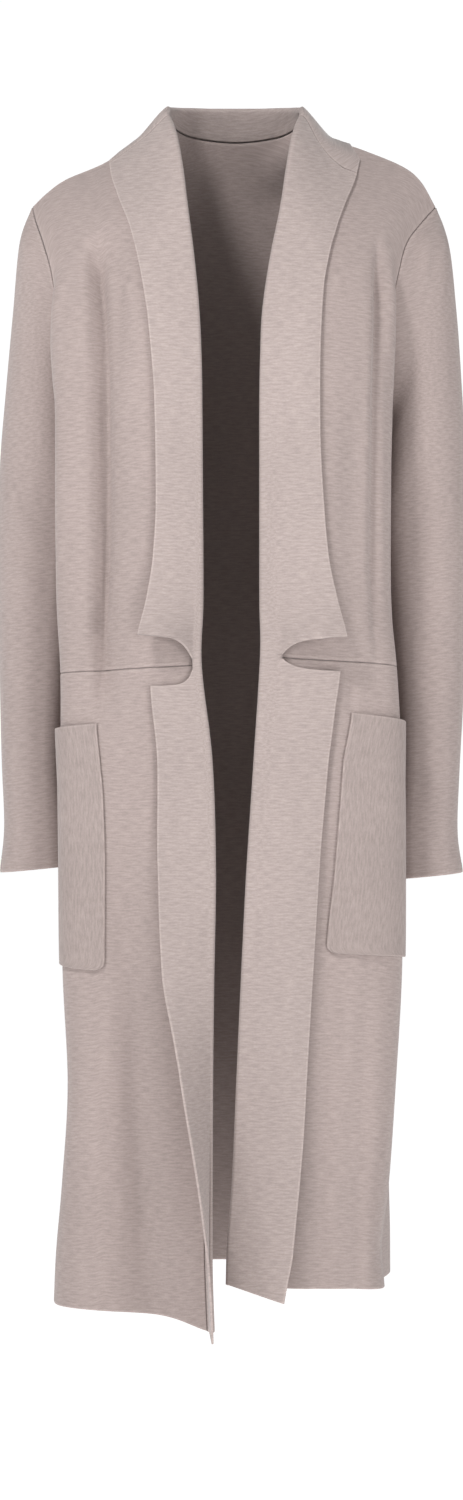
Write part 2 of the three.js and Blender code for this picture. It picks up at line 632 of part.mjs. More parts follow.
// One row of a band: out from its seam under the front edge, round the roll, and back over the
// panel to the free edge. reach is how far the free edge lies from the fold.
function bandRow(surface, rowAt, { seam, reach, lift, stand, lean = 0, drop, slitFrom, hump = 0 }) {
  const TOP_CELLS = 4;
  const steps = [[seam, 0], [mix(seam, 1 + ROLL, 0.5), 0]];
  for (let k = 0; k <= 4; k += 1) {
    const turn = (Math.PI * k) / 4;
    steps.push([1 + ROLL - ROLL * Math.sin(turn), ROLL - ROLL * Math.cos(turn)]);
  }
  const start = Math.min(slitFrom, reach * 0.55);
  for (let k = 0; k <= TOP_CELLS; k += 1) steps.push([mix(start, reach, share(k, TOP_CELLS)), 2 * ROLL]);
  const leave = 1 + ROLL;
  return steps.map(([far, up], k) => {
    const onTop = k > 6 ? clamp((far - leave) / (reach - leave), 0, 1) : 0;
    const high = up + (lift - 2 * ROLL) * onTop + hump * Math.sin(Math.PI * onTop);
    const row = rowAt(far, k > 6);
    const point = surface.at(row, far, high);
    return point.add(vec(lean * onTop, -stand * onTop, -drop * onTop));
  });
}

// How many rows lower than its base the top end of a lapel lies, because its seam with the
// collar slants. The rows below it catch up.
function slanted(side, base, far) {
  const SLANT_REACH = 50;
  const SLANT_ROWS = 4;
  const left = clamp(1 - (base - COLLAR_START) / SLANT_ROWS, 0, 1);
  return side.slant * clamp((far - BAND_SEAM) / SLANT_REACH, 0, 1) * left ** 2;
}

// The distance from the fold at which the free edge of a band lies
function bandReach(side, edge, row) {
  let low = 5;
  let high = 140;
  for (let turn = 0; turn < 24; turn += 1) {
    const middle = (low + high) / 2;
    const point = side.front.at(row, middle);
    if (side.sign * point.x < byHeight(edge, point.z, 'x')) low = middle;
    else high = middle;
  }
  return Math.max((low + high) / 2, 9);
}

// The rows of a lapel and then those of the flap below it, with the slit between them
function bandGrid(side) {
  const { front, slit } = side;
  const points = [];
  const waist = (above) => {
    const edge = slit.z + (above ? slit.tall / 2 : -slit.tall / 2);
    const parted = above ? slit.above : -slit.below;
    const within = above ? slit.aboveIn : slit.belowIn;
    return (far, onTop) => {
      const open = onTop ? 1 - Math.exp(-Math.max(far - slit.from, 0) / within) : 0;
      return front.rowAt(edge + parted * open, far);
    };
  };
  const row = (edge, rowAt, drop) => {
    const { z } = front.at(rowAt(60, true), 60);
    return bandRow(front, rowAt, {
      seam: BAND_SEAM,
      reach: bandReach(side, edge, rowAt(60, true)),
      lift: byHeight(edge, z, 'lift'),
      stand: byHeight(edge, z, 'stand'),
      lean: -side.sign * STAND_LEAN * byHeight(edge, z, 'stand'),
      drop,
      slitFrom: slit.from,
    });
  };
  for (const base of lapelRows) {
    const near = share(base, WAIST_ROW) ** 7;
    const seamRow = (far, onTop) => base + (onTop ? slanted(side, base, far) : 0);
    points.push(row(
      side.lapel, (far, onTop) => mix(seamRow(far, onTop), waist(true)(far, onTop), onTop ? near : 0), 0,
    ));
  }
  for (const base of flapRows) {
    const t = share(base - WAIST_ROW, HEM_ROW - WAIST_ROW);
    const near = (1 - t) ** 7;
    const line = row(
      side.flap, (far, onTop) => mix(base, waist(false)(far, onTop), onTop ? near : 0), side.drop * t ** 6,
    );
    line.forEach((point) => point.add(vec(0, 0, -dipAt(side, base, 0))));
    points.push(line);
  }
  const SLIT_COLUMN = 7;
  const grid = { points, normals: gridNormals(points, side.sign) };
  grid.keep = (i, j) => i !== lapelRows.length - 1 || j < SLIT_COLUMN;
  return grid;
}

// The back collar: a stand that rises from the neckline, turned over on itself and lying on
// the shoulders and the back. Its rows go round the neck from band to band, one at each point
// of the neckline.
function collarGrid(back) {
  const onBack = (x, row) => {
    const line = back.keyRows[0].map((_, j) => along(back.keyRows.map((key) => key[j]), row));
    const j = line.findIndex((point, k) => k > 0 && point.x >= x);
    return blend(line[j - 1], line[j], (x - line[j - 1].x) / (line[j].x - line[j - 1].x));
  };
  const half = NECK_CELLS / 2;
  const necks = back.points[0].slice(SHOULDER_CELLS, SHOULDER_CELLS + NECK_CELLS + 1);
  const onFront = (side, row) => {
    const reach = bandReach(side, side.lapel, row + (row / COLLAR_START) * side.slant);
    const fars = [0, BAND_SEAM, mix(BAND_SEAM, reach, 0.35), mix(BAND_SEAM, reach, 0.7), reach];
    return fars.map((far) =>
      side.front.at(row + (row / COLLAR_START) * slanted(side, COLLAR_START, far), far));
  };
  const column = (name, place) => along(COLLAR.map((entry) =>
    vec(entry[`${name}X`], entry[`${name}Y`] ?? 0, entry[`${name}Z`] ?? entry[`${name}Row`])), place);
  const turned = (side) => Array.from({ length: half + 1 }, (_, k) => {
    const place = ((COLLAR.length - 1) * k) / half;
    const fold = column('fold', place);
    const mid = column('mid', place);
    const free = column('free', place);
    const middle = blend(mid, free, 0.5);
    const laid = (spot) => onBack(NECK_CENTRE + side.sign * spot.x, Math.max(spot.z, 0));
    return [
      vec(NECK_CENTRE + side.sign * fold.x, fold.y, fold.z),
      side.sign < 0 ? necks[k] : necks[NECK_CELLS - k],
      laid(mid), laid(middle), laid(free),
    ];
  });
  const starts = [COLLAR_START - 0.008, COLLAR_START / 2];
  const rows = [
    ...starts.map((row) => onFront(right, row)),
    ...turned(right),
    ...turned(left).slice(0, -1).reverse(),
    ...[...starts].reverse().map((row) => onFront(left, row)),
  ];
  const surface = new Surface(rows.map((points) => ({ points })), -1);
  const points = rows.map((row, i) => {
    const seam = row[0].distanceTo(row[1]) - SEAM_GAP - COLLAR_EASE;
    const reach = surface.length(i);
    const behind = clamp((Math.min(i, rows.length - 1 - i) - starts.length) / half, 0, 1);
    return bandRow(surface, () => i, {
      seam,
      reach,
      lift: mix(COLLAR_LIFT.shoulder, COLLAR_LIFT.neck, behind),
      hump: mix(COLLAR_HUMP.shoulder, COLLAR_HUMP.neck, behind),
      stand: 0,
      drop: 0,
      slitFrom: Math.min(18, reach * 0.4),
    });
  });
  return { points, normals: gridNormals(points, 1) };
}

// A sleeve: its first ring follows the armhole point by point, the next ones come from the
// table. Where the sleeve runs on from the shoulder the two walls meet face to face; under the
// arm, where it turns down beside the body, it stands off by the sleeve's ease.
function sleeveGrid(side, back, armholeRows) {
  const sideColumn = side.sign < 0 ? 0 : back.points[0].length - 1;
  const edge = [];
  for (let i = 0; i <= armholeRows; i += 1) {
    edge.push({ grid: side.upper, i, j: SHOULDER_CELLS });
  }
  for (let i = armholeRows - 1; i > 0; i -= 1) edge.push({ grid: back, i, j: sideColumn });
  const spots = edge.map(({ grid, i, j }) => grid.points[i][j]);
  const reach = [0];
  for (let k = 1; k <= spots.length; k += 1) {
    reach.push(reach[k - 1] + spots[k % spots.length].distanceTo(spots[k - 1]));
  }
  const turns = spots.map((_, k) => (k <= armholeRows
    ? (Math.PI * reach[k]) / reach[armholeRows]
    : Math.PI + (Math.PI * (reach[k] - reach[armholeRows])) / (reach[spots.length] - reach[armholeRows])));
  const ring = (entry) => turns.map((turn) => {
    const outwards = (1 + Math.cos(turn)) / 2;
    return vec(
      side.sign * mix(entry.innerX, entry.outerX, outwards),
      entry.middleY - entry.halfDepth * Math.sin(turn),
      mix(entry.innerZ, entry.outerZ, outwards),
    );
  });
  const rings = side.sleeve.map(ring);
  const low = turns.map((turn) => (1 - Math.cos(turn)) / 2);
  const first = spots.map((point, k) => {
    const away = rings[0][k].clone().sub(point).normalize();
    return point.clone().addScaledVector(away, mix(SHOULDER_GAP, ARM_GAP, low[k] ** 2))
      .add(vec(side.sign * UNDERARM_EASE * low[k] ** 3, 0, 0));
  });
  const keys = [first, ...rings];
  const points = [];
  for (let i = 0; i <= SLEEVE_ROWS; i += 1) {
    const at = (keys.length - 1) * share(i, SLEEVE_ROWS);
    points.push(first.map((_, k) => along(keys.map((line) => line[k]), at)));
  }
  const normals = gridNormals(points, -side.sign, true);
  edge.forEach(({ grid, i, j }, k) => {
    const own = grid.normals[i][j];
    if (low[k] < 0.5 && own.dot(normals[0][k]) > -0.2) agree(own, normals[0][k]);
  });
  return { points, normals, closed: true };
}

// A patch pocket from the points of the skirt, on the skirt's own columns, moved out by a layer
function pocketGrid(side) {
  const { front, pocket } = side;
  const points = [];
  for (let i = 0; i <= POCKET_ROWS; i += 1) {
    const t = share(i, POCKET_ROWS);
    const frontZ = mix(pocket.topFront, pocket.bottomFront, t);
    const sideZ = mix(pocket.topSide, pocket.bottomSide, t);
    const startRow = front.rowAt(frontZ, 110);
    const inner = byHeight(pocket.inner, frontZ, 'x');
    let innerFar = 60;
    while (side.sign * front.plain(startRow, front.shareAt(startRow, innerFar)).x < inner) innerFar += 0.25;
    const line = [];
    for (let j = pocket.column - 1; j <= SHOULDER_CELLS; j += 1) {
      const drift = share(j - pocket.column + 1, SHOULDER_CELLS - pocket.column + 1);
      const row = front.rowAt(mix(frontZ, sideZ, drift), innerFar);
      let place = columnShare(front.shareAt(row, BAND_SEAM + SEAM_GAP), j);
      if (j === pocket.column - 1) place = front.shareAt(row, innerFar);
      if (j === SHOULDER_CELLS) place = front.shareAt(row, front.length(row) - pocket.short);
      const mouth = POCKET_MOUTH * Math.max(0, 1 - 4 * t) * Math.sin(Math.PI * drift);
      line.push(front.byShare(row, place, LAYER + POCKET_EASE + mouth));
    }
    points.push(line);
  }
  return { points, normals: gridNormals(points, -side.sign) };
}

const knit = (color) => new THREE.MeshStandardMaterial({ color, roughness: 0.9, metalness: 0 });
const finishes = {
  body: knit('#c3b3ae'),
  skirt: knit('#b8a7a2'),
  band: knit('#cbbcb8'),
  sleeve: knit('#bfafaa'),
  pocket: knit('#ad9d97'),
};

const coat = new THREE.Group();
function add(name, grid, finish) {
  const mesh = new THREE.Mesh(wall(grid), finishes[finish]);
  mesh.name = name;
  coat.add(mesh);
}

for (const side of [right, left]) {
  side.upper = frontGrid(side, upperRows);
  side.skirt = frontGrid(side, skirtRows);
}
const back = backGrid(right.upper, left.upper);

// The shoulder seams and the side seams, where back and fronts meet
const backColumns = back.points[0].length;
const armholeRows = upperRows.indexOf(UNDERARM_ROW);
for (const side of [right, left]) {
  const backColumn = (j) => (side.sign < 0 ? j : backColumns - 1 - j);
  for (let j = 0; j <= SHOULDER_CELLS; j += 1) {
    agree(side.upper.normals[0][j], back.normals[0][backColumn(SHOULDER_CELLS - j)]);
  }
  for (let i = armholeRows; i <= UPPER_ROWS; i += 1) {
    agree(side.upper.normals[i][SHOULDER_CELLS], back.normals[i][backColumn(0)]);
    const meeting = blend(side.upper.points[i][SHOULDER_CELLS], back.points[i][backColumn(0)], 0.5);
    side.upper.points[i][SHOULDER_CELLS].copy(meeting);
    back.points[i][backColumn(0)].copy(meeting);
  }
  for (let i = 0; i < skirtRows.length; i += 1) {
    const sideNormal = back.normals[UPPER_ROWS + i][backColumn(0)];
    side.skirt.normals[i][SHOULDER_CELLS].copy(sideNormal);
  }
  side.sleeveGrid = sleeveGrid(side, back, armholeRows);
  side.band = bandGrid(side);
}
const collar = collarGrid(back);
for (const side of [right, left]) {
  pull(side.upper, 'top');
  pull(side.upper, 'bottom');
  pull(side.upper, 'last');
  pull(side.skirt, 'top');
  pull(side.skirt, 'last');
}
pull(back, 'top');
pull(back, 'first');
pull(back, 'last');

for (const [name, side] of [['right', right], ['left', left]]) {
  add(`front_upper_${name}`, side.upper, 'body');
  add(`front_skirt_${name}`, side.skirt, 'skirt');
  add(`front_band_${name}`, side.band, 'band');
  add(`sleeve_${name}`, side.sleeveGrid, 'sleeve');
  add(`pocket_${name}`, pocketGrid(side), 'pocket');
}
add('back', back, 'body');
add('back_collar', collar, 'band');

export default coat;
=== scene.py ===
# %% [markdown]
# # A long open cardigan coat
# The coat is cut from double knit, a soft and fairly heavy cloth, and keeps the hollow form
# that it has when it is worn. Each front edge is a long band that is turned back over the
# front, so that it forms a lapel above the waist and a flap below it. This lesson builds each
# piece of cloth as a thin shell, in its real size, and then gives it a knitted surface.
#
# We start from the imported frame, which says where each plain solid lies. Each plain solid
# is replaced below by a finer piece in the same place.

# %% Open the frame
import math

import bpy
import numpy as np
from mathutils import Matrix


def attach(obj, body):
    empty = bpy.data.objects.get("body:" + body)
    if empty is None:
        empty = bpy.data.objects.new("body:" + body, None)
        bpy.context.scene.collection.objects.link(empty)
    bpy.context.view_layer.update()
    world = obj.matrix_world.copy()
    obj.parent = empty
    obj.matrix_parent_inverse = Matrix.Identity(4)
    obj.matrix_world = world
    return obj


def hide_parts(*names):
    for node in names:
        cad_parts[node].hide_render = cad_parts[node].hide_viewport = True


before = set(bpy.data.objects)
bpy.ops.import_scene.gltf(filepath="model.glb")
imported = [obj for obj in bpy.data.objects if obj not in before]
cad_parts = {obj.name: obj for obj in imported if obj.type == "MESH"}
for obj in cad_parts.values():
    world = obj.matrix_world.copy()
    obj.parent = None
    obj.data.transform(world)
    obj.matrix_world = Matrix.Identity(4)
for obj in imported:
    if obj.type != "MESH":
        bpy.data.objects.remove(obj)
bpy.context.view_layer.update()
print("nodes:", ", ".join(sorted(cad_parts)))

# %% [markdown]
# ## Camera
# The picture was taken from about four metres, level with the waist, so the coat shows hardly
# any perspective. A long lens at that distance gives the same look. The sensor is matched to
# the long side of a picture of 463 by 1500 pixels.

# %% Place the camera
MM = 0.001
VIEW_DISTANCE = 4000  # mm from the middle of the coat
VIEW_SIDE = -1.4
VIEW_HEIGHT = -579.5  # the height of the lens, with the shoulders at 0
PICTURE_HEIGHT = 1425  # mm of the coat's own plane, from the top of the picture to its foot
SENSOR = 36

scene = bpy.context.scene
camera = bpy.data.objects.new("camera", bpy.data.cameras.new("camera"))
scene.collection.objects.link(camera)
camera.location = (VIEW_SIDE * MM, -VIEW_DISTANCE * MM, VIEW_HEIGHT * MM)
camera.rotation_euler = (math.radians(90), 0, 0)
camera.data.sensor_fit = "AUTO"
camera.data.sensor_width = SENSOR
camera.data.lens = SENSOR * VIEW_DISTANCE / PICTURE_HEIGHT
scene.camera = camera
print("lens:", round(camera.data.lens, 1), "mm")

# %% [markdown]
# ## Colour and node helpers
# Colours are written as sRGB hex values, as a dyer's chart gives them, and Blender wants them
# linear. One function turns them. Another adds any node, sets its values and joins its
# inputs, so that each material reads as a list of steps.

# %% Colour and node helpers
def linear(hex_colour):
    """An sRGB hex colour as linear red, green, blue and alpha."""
    parts = [int(hex_colour[i:i + 2], 16) / 255 for i in (1, 3, 5)]
    return [c / 12.92 if c <= 0.04045 else ((c + 0.055) / 1.055) ** 2.4 for c in parts] + [1.0]


def add_node(tree, kind, inputs=None, **settings):
    """A new node. An input is a value, or the output socket of another node."""
    node = tree.nodes.new(kind)
    for name, value in settings.items():
        setattr(node, name, value)
    for name, value in (inputs or {}).items():
        if isinstance(value, bpy.types.NodeSocket):
            tree.links.new(value, node.inputs[name])
        else:
            node.inputs[name].default_value = value
    return node


print("taupe in linear values:", [round(c, 3) for c in linear("#C8B8B3")])

# %% [markdown]
# ## The knit
# The cloth is a fine double knit of viscose with a little stretch yarn. Its face is flat and
# dull. What the eye finds on it are the courses, the rows of stitches that run across, and
# short slubs where the yarn is a little thicker, which show as light and dark dashes along
# the courses. A double knit of this weight has about 9 courses per centimetre. That is too
# fine for the picture, so the courses are drawn half as coarse again.
#
# Each piece carries a map in metres along and across its own knit, so the same pattern comes
# out at its real size everywhere. Two more values on the mesh say how far a point lies from a
# sewn seam and from a free edge. A seam sinks in, and the material paints shade into its groove
# and a painted highlight on the cloth beside it. Along a free edge it paints a highlight.

# %% Patterns of the knit
COURSE = 1.1 * 1.5  # mm from course to course, drawn half as coarse again as it is
WALE = 1.4  # mm from one column of stitches to the next
SLUB_LENGTH = 10.0  # mm
SHADE_SPAN = 70.0  # mm, the slow change of tone over the cloth
BUMP_DEPTH = 0.25  # mm

# Each pattern: mm across, mm along, where it starts, its detail, and the share by which it
# makes the colour lighter and darker
PATTERNS = {
    "slub": (SLUB_LENGTH, COURSE, 0.0, 1.0, 0.11),
    "fibre": (WALE * 1.5, COURSE * 0.6, 3.7, 2.0, 0.06),
    "shade": (SHADE_SPAN, SHADE_SPAN * 1.6, 8.1, 2.0, 0.03),
}
RELIEF = {"slub": 0.6, "fibre": 0.4}  # the share that each has in the height of the stitches

# Each painted shade or highlight at an edge: the distance that it reads, in mm where it starts
# and ends, and the factor on the colour at both. The first paints a highlight along a free edge,
# the second paints shade into a seam's groove and a highlight beside it, the third ends that
# highlight
PAINTED_EDGE_SHADE_AND_HIGHLIGHT = [
    ("rim_mm", 0.8, 2.2, 1.16, 1.0),
    ("seam_mm", 0.2, 1.3, 0.72, 1.08),
    ("seam_mm", 2.2, 4.2, 1.0, 0.926),
]
print("courses every", round(COURSE, 2), "mm, slubs", SLUB_LENGTH, "mm long")

# %% [markdown]
# The material scales each pattern from millimetres, multiplies the tones of all patterns with
# the painted shade and highlights at seams and free edges, and colours the knit with the product.
# The loops of yarn scatter the light, so the surface is rough, with hardly any gloss and a faint
# sheen where it turns away.

# %% Knit material
def knit_material(name, colour, upright=False):
    """Double knit. upright turns the courses to run up and down."""
    material = bpy.data.materials.new(name)
    material.use_nodes = True
    tree = material.node_tree
    tree.nodes.clear()
    place = add_node(tree, "ShaderNodeUVMap", uv_map="knit").outputs["UV"]
    if upright:
        turn = (0, 0, math.radians(90))
        turned = add_node(tree, "ShaderNodeMapping", {"Vector": place, "Rotation": turn})
        place = turned.outputs["Vector"]

    tone, height = 1.0, 0.0
    for pattern, (across, tall, start, detail, amount) in PATTERNS.items():
        scaled = add_node(tree, "ShaderNodeMapping", {
            "Vector": place, "Scale": (1000 / across, 1000 / tall, 1),
            "Location": (start, start, 0)})
        noise = add_node(tree, "ShaderNodeTexNoise", {
            "Vector": scaled.outputs["Vector"], "Scale": 1.0, "Detail": detail, "Roughness": 0.5},
            noise_dimensions="2D").outputs["Fac"]
        factor = add_node(tree, "ShaderNodeMapRange", {
            "Value": noise, "From Min": 0.25, "From Max": 0.75,
            "To Min": 1 - amount, "To Max": 1 + amount}).outputs["Result"]
        tone = add_node(
            tree, "ShaderNodeMath", {0: tone, 1: factor}, operation="MULTIPLY").outputs[0]
        if pattern in RELIEF:
            height = add_node(tree, "ShaderNodeMath", {0: noise, 1: RELIEF[pattern], 2: height},
                              operation="MULTIPLY_ADD").outputs[0]
    # painted shade in each seam's groove, a painted highlight beside it, and a painted highlight
    # along each free edge
    for attribute, start, end, low, high in PAINTED_EDGE_SHADE_AND_HIGHLIGHT:
        distance = add_node(tree, "ShaderNodeAttribute", attribute_name=attribute).outputs["Fac"]
        factor = add_node(tree, "ShaderNodeMapRange", {
            "Value": distance, "From Min": start, "From Max": end, "To Min": low, "To Max": high},
            interpolation_type="SMOOTHSTEP").outputs["Result"]
        tone = add_node(
            tree, "ShaderNodeMath", {0: tone, 1: factor}, operation="MULTIPLY").outputs[0]

    base = add_node(tree, "ShaderNodeVectorMath", {0: linear(colour)[:3], "Scale": tone},
                    operation="SCALE")
    bump = add_node(tree, "ShaderNodeBump", {
        "Height": height, "Strength": 0.55, "Distance": BUMP_DEPTH * MM})
    shader = add_node(tree, "ShaderNodeBsdfPrincipled", {
        "Base Color": base.outputs["Vector"], "Normal": bump.outputs["Normal"], "Roughness": 0.88,
        "IOR": 1.5, "Specular IOR Level": 0.3, "Sheen Weight": 0.18, "Sheen Roughness": 0.5})
    add_node(tree, "ShaderNodeOutputMaterial", {"Surface": shader.outputs["BSDF"]})
    return material


# The knit of the body, steamed after knitting. It looks dull, soft and even.
body_knit = knit_material("body_double_knit", "#9E908C")
# The same knit in bands and collar, folded over and pressed flat, so it looks a bit lighter.
band_knit = knit_material("band_double_knit", "#A29591")
# The same knit cut across for the pockets. Its courses stand upright and look a bit darker.
pocket_knit = knit_material("pocket_double_knit_upright", "#998C88", upright=True)
print("materials:", [knit.name for knit in (body_knit, band_knit, pocket_knit)])

# %% [markdown]
# ## Curves
# Cloth has no corners of its own, so every section of the coat is a smooth curve through a few
# points, and every seam is a smooth curve through the sections. A Catmull-Rom curve passes
# through the points that it is given, which makes it easy to say where the cloth should lie.
# The tables below are in millimetres, and X is measured outwards from the middle.

# %% Curve helpers
def mix(a, b, t):
    """The value that lies at t on the way from a to b."""
    return a + (b - a) * t


def catmull(p, q, r, s, t):
    """The point at t between q and r, with p before and s after them."""
    return 0.5 * (2 * q + (r - p) * t + (2 * p - 5 * q + 4 * r - s) * t**2
                  + (3 * q - p - 3 * r + s) * t**3)


def along(points, places, before=None, after=None):
    """Points of the smooth curve through the given ones. The places count them."""
    points = np.asarray(points, float)
    start = 2 * points[0] - points[1] if before is None else before
    end = 2 * points[-1] - points[-2] if after is None else after
    padded = np.concatenate([start[None], points, end[None]])
    places = np.atleast_1d(places)
    i = np.clip(np.floor(places).astype(int), 0, len(points) - 2)
    t = (places - i).reshape((-1,) + (1,) * (points.ndim - 1))
    return catmull(padded[i], padded[i + 1], padded[i + 2], padded[i + 3], t)


bow = [[0, 0, 0], [2, 0, 1], [4, 0, 0]]
print("half way along a curve through three points:", along(bow, 1)[0])

# %% [markdown]
# A tailor measures along the cloth, and so do we. These helpers measure a line, cut it into
# equal lengths, find a place by halving, and look up a value in a table by its height.

# %% Measuring helpers
def lengths(points, axis=0):
    """How far each point lies along its line, from the line's start."""
    steps = np.linalg.norm(np.diff(points, axis=axis), axis=-1)
    start = np.zeros_like(np.take(steps, [0], axis=axis))
    return np.concatenate([start, np.cumsum(steps, axis=axis)], axis=axis)


def evenly(points, pieces):
    """The curve cut into equal lengths."""
    spots = along(points, np.linspace(0, len(points) - 1, 24 * (len(points) - 1) + 1))
    reach = lengths(spots)
    even = np.linspace(0, reach[-1], pieces + 1)
    return np.stack([np.interp(even, reach, spots[:, axis]) for axis in range(3)], -1)


def halve(low, high, shape, steps, is_short):
    """Closes in on the place where is_short stops being true, and gives both sides of it."""
    low, high = np.full(shape, float(low)), np.full(shape, float(high))
    for _ in range(steps):
        middle = (low + high) / 2
        short = is_short(middle)
        low, high = np.where(short, middle, low), np.where(short, high, middle)
    return low, high


def table(names, rows):
    """Rows of numbers as one array for each named column."""
    return {name: np.array(column, float) for name, column in zip(names, zip(*rows))}


def by_height(rows, z, column):
    """A smooth value from a table whose z falls from row to row."""
    heights = rows["z"]
    place = np.interp(-np.asarray(z, float), -heights, np.arange(len(heights)))
    values = rows[column]
    return along(values, np.ravel(place), values[0], values[-1]).reshape(np.shape(z))


print("the bow is", round(float(lengths(along(bow, np.linspace(0, 2, 25)))[-1]), 2), "mm long")

# %% [markdown]
# ## The two fronts
# A front hangs from the shoulder over the chest and falls straight to the hem. Each section
# starts at the turned edge of the front, runs over chest and flank to an overhang in front of
# the arm, and tucks back to the armhole or the side seam. The two fronts hang differently, as
# worn cloth does, so each has its own table.

# %% Sections of the fronts
FRONT_COLUMNS = [
    "frontZ", "sideZ", "frontX", "frontY", "chestX", "chestY", "flankX", "flankY",
    "edgeX", "edgeY", "tuckX", "tuckY", "sideX", "sideY",
]
RIGHT_FRONT = table(FRONT_COLUMNS, [
    [27, -64, 60.8, -2, 84, 0, 120, 2, 158, 3, 176, 3, 190, 2],
    [0, -80, 52, -43, 82, -33, 118, -27, 152, -23, 171, -20, 186, -18],
    [-35, -103, 46, -70, 78, -64, 114, -57, 146, -50, 164, -46, 178, -41],
    [-78, -130, 41, -92, 78, -90, 113, -82, 145, -73, 160, -67, 170, -60],
    [-125, -165, 35.5, -108, 76, -109, 116, -100, 150, -87, 167, -77, 163, -62],
    [-175, -205, 31, -118, 76, -120, 122, -108, 158, -91, 169, -72, 152, -52],
    [-222, -240, 29, -123, 76, -126, 124, -112, 161, -92, 165, -66, 141, -32],
    [-264, -266, 28.5, -124, 76, -128, 124, -113, 162, -93, 158, -62, 134, 2],
    [-340, -340, 28, -124, 76, -128, 124, -112, 163, -92, 153, -54, 132, 5],
    [-440, -440, 27.5, -121, 76, -125, 126, -112, 162, -91, 152, -50, 136, 5],
    [-501, -511, 29, -119, 77, -122, 126, -111, 158, -92, 153, -52, 141, 5],
    [-590, -590, 19, -121, 76, -124, 128, -115, 157, -97, 156, -60, 145, 5],
    [-690, -690, 16, -120, 76, -125, 128, -117, 156, -99, 157, -64, 147, 5],
    [-790, -790, 17.5, -119, 76, -123, 126, -116, 154, -97, 157, -62, 151, 5],
    [-890, -890, 18.5, -120, 76, -121, 124, -115, 150, -95, 152.5, -58, 149, 5],
    [-980, -980, 18.5, -128, 76, -121, 124, -114, 153, -94, 158.5, -57, 154, 6],
    [-1050, -1045, 18, -145, 72, -124, 124, -114, 157, -92, 164.5, -55, 160, 8],
    [-1101, -1094, 16, -152, 70, -126, 124, -113, 159, -90, 167, -52, 163, 8],
])
LEFT_FRONT = table(FRONT_COLUMNS, [
    [27, -64, 64, -2, 88, 0, 122, 2, 160, 3, 178, 3, 192, 2],
    [0, -80, 55, -43, 84, -33, 116, -27, 146, -23, 164, -20, 179, -18],
    [-35, -103, 49, -70, 82, -64, 110, -57, 136, -51, 151, -47, 163, -43],
    [-78, -130, 43, -92, 82, -90, 110, -82, 134, -74, 146, -68, 155, -60],
    [-125, -165, 34, -108, 80, -109, 112, -101, 138, -88, 151, -77, 147, -62],
    [-175, -205, 27, -118, 78, -120, 114, -108, 142, -92, 151, -74, 141, -52],
    [-222, -240, 25, -123, 78, -126, 116, -112, 143, -94, 149, -68, 136, -32],
    [-264, -266, 24.5, -124, 78, -128, 116, -113, 143, -95, 147, -58, 132, 2],
    [-340, -340, 24.5, -124, 78, -128, 116, -113, 143, -95, 145, -52, 131, 5],
    [-440, -440, 24.5, -121, 80, -125, 118, -112, 144, -93, 145, -52, 133, 5],
    [-493, -507, 25, -119, 82, -122, 120, -111, 148, -94, 150, -60, 137, 5],
    [-590, -590, 19, -121, 80, -124, 122, -115, 151, -98, 155, -68, 141, 5],
    [-690, -690, 12.5, -121, 80, -125, 124, -117, 152, -99, 156, -71, 143, 5],
    [-790, -790, 7.5, -119, 76, -124, 124, -116, 151, -97, 156.5, -62, 150, 5],
    [-890, -890, 3, -119, 72, -124, 120, -115, 146, -95, 151, -58, 146, 5],
    [-980, -980, -1, -120, 66, -124, 116, -114, 140, -93, 145, -55, 140, 6],
    [-1035, -1040, -5.5, -121, 62, -124, 112, -113, 134, -91, 138, -53, 134, 6],
    [-1072, -1086, -6.7, -122, 60, -124, 111, -112, 136, -90, 141, -50, 137, 6],
])
# How far each point of a section has come from frontZ to sideZ
RIGHT_FALL = np.array([0, 0.26, 0.53, 0.71, 0.85, 1])
LEFT_FALL = np.array([0, 0.27, 0.4, 0.57, 0.73, 1])
UNDERARM_ROW = 7
WAIST_ROW = 10
HEM_ROW = 17
print("sections of a front:", HEM_ROW + 1)

# %% [markdown]
# ## A smooth surface through the sections
# The sections of a front are joined into one smooth surface. A place on it is given by its row,
# which counts the sections, and by its share of the way along the section. Cloth is laid on
# the surface, in it or over it, by distances in real millimetres from the turned edge.

# %% Surface through sections
PARTS = ["front", "chest", "flank", "edge", "tuck", "side"]
BAND_SEAM = 8  # mm from the turned edge in to the seam of band and front
SEAM_GAP = 0.3  # mm between two pieces that are sewn edge to edge


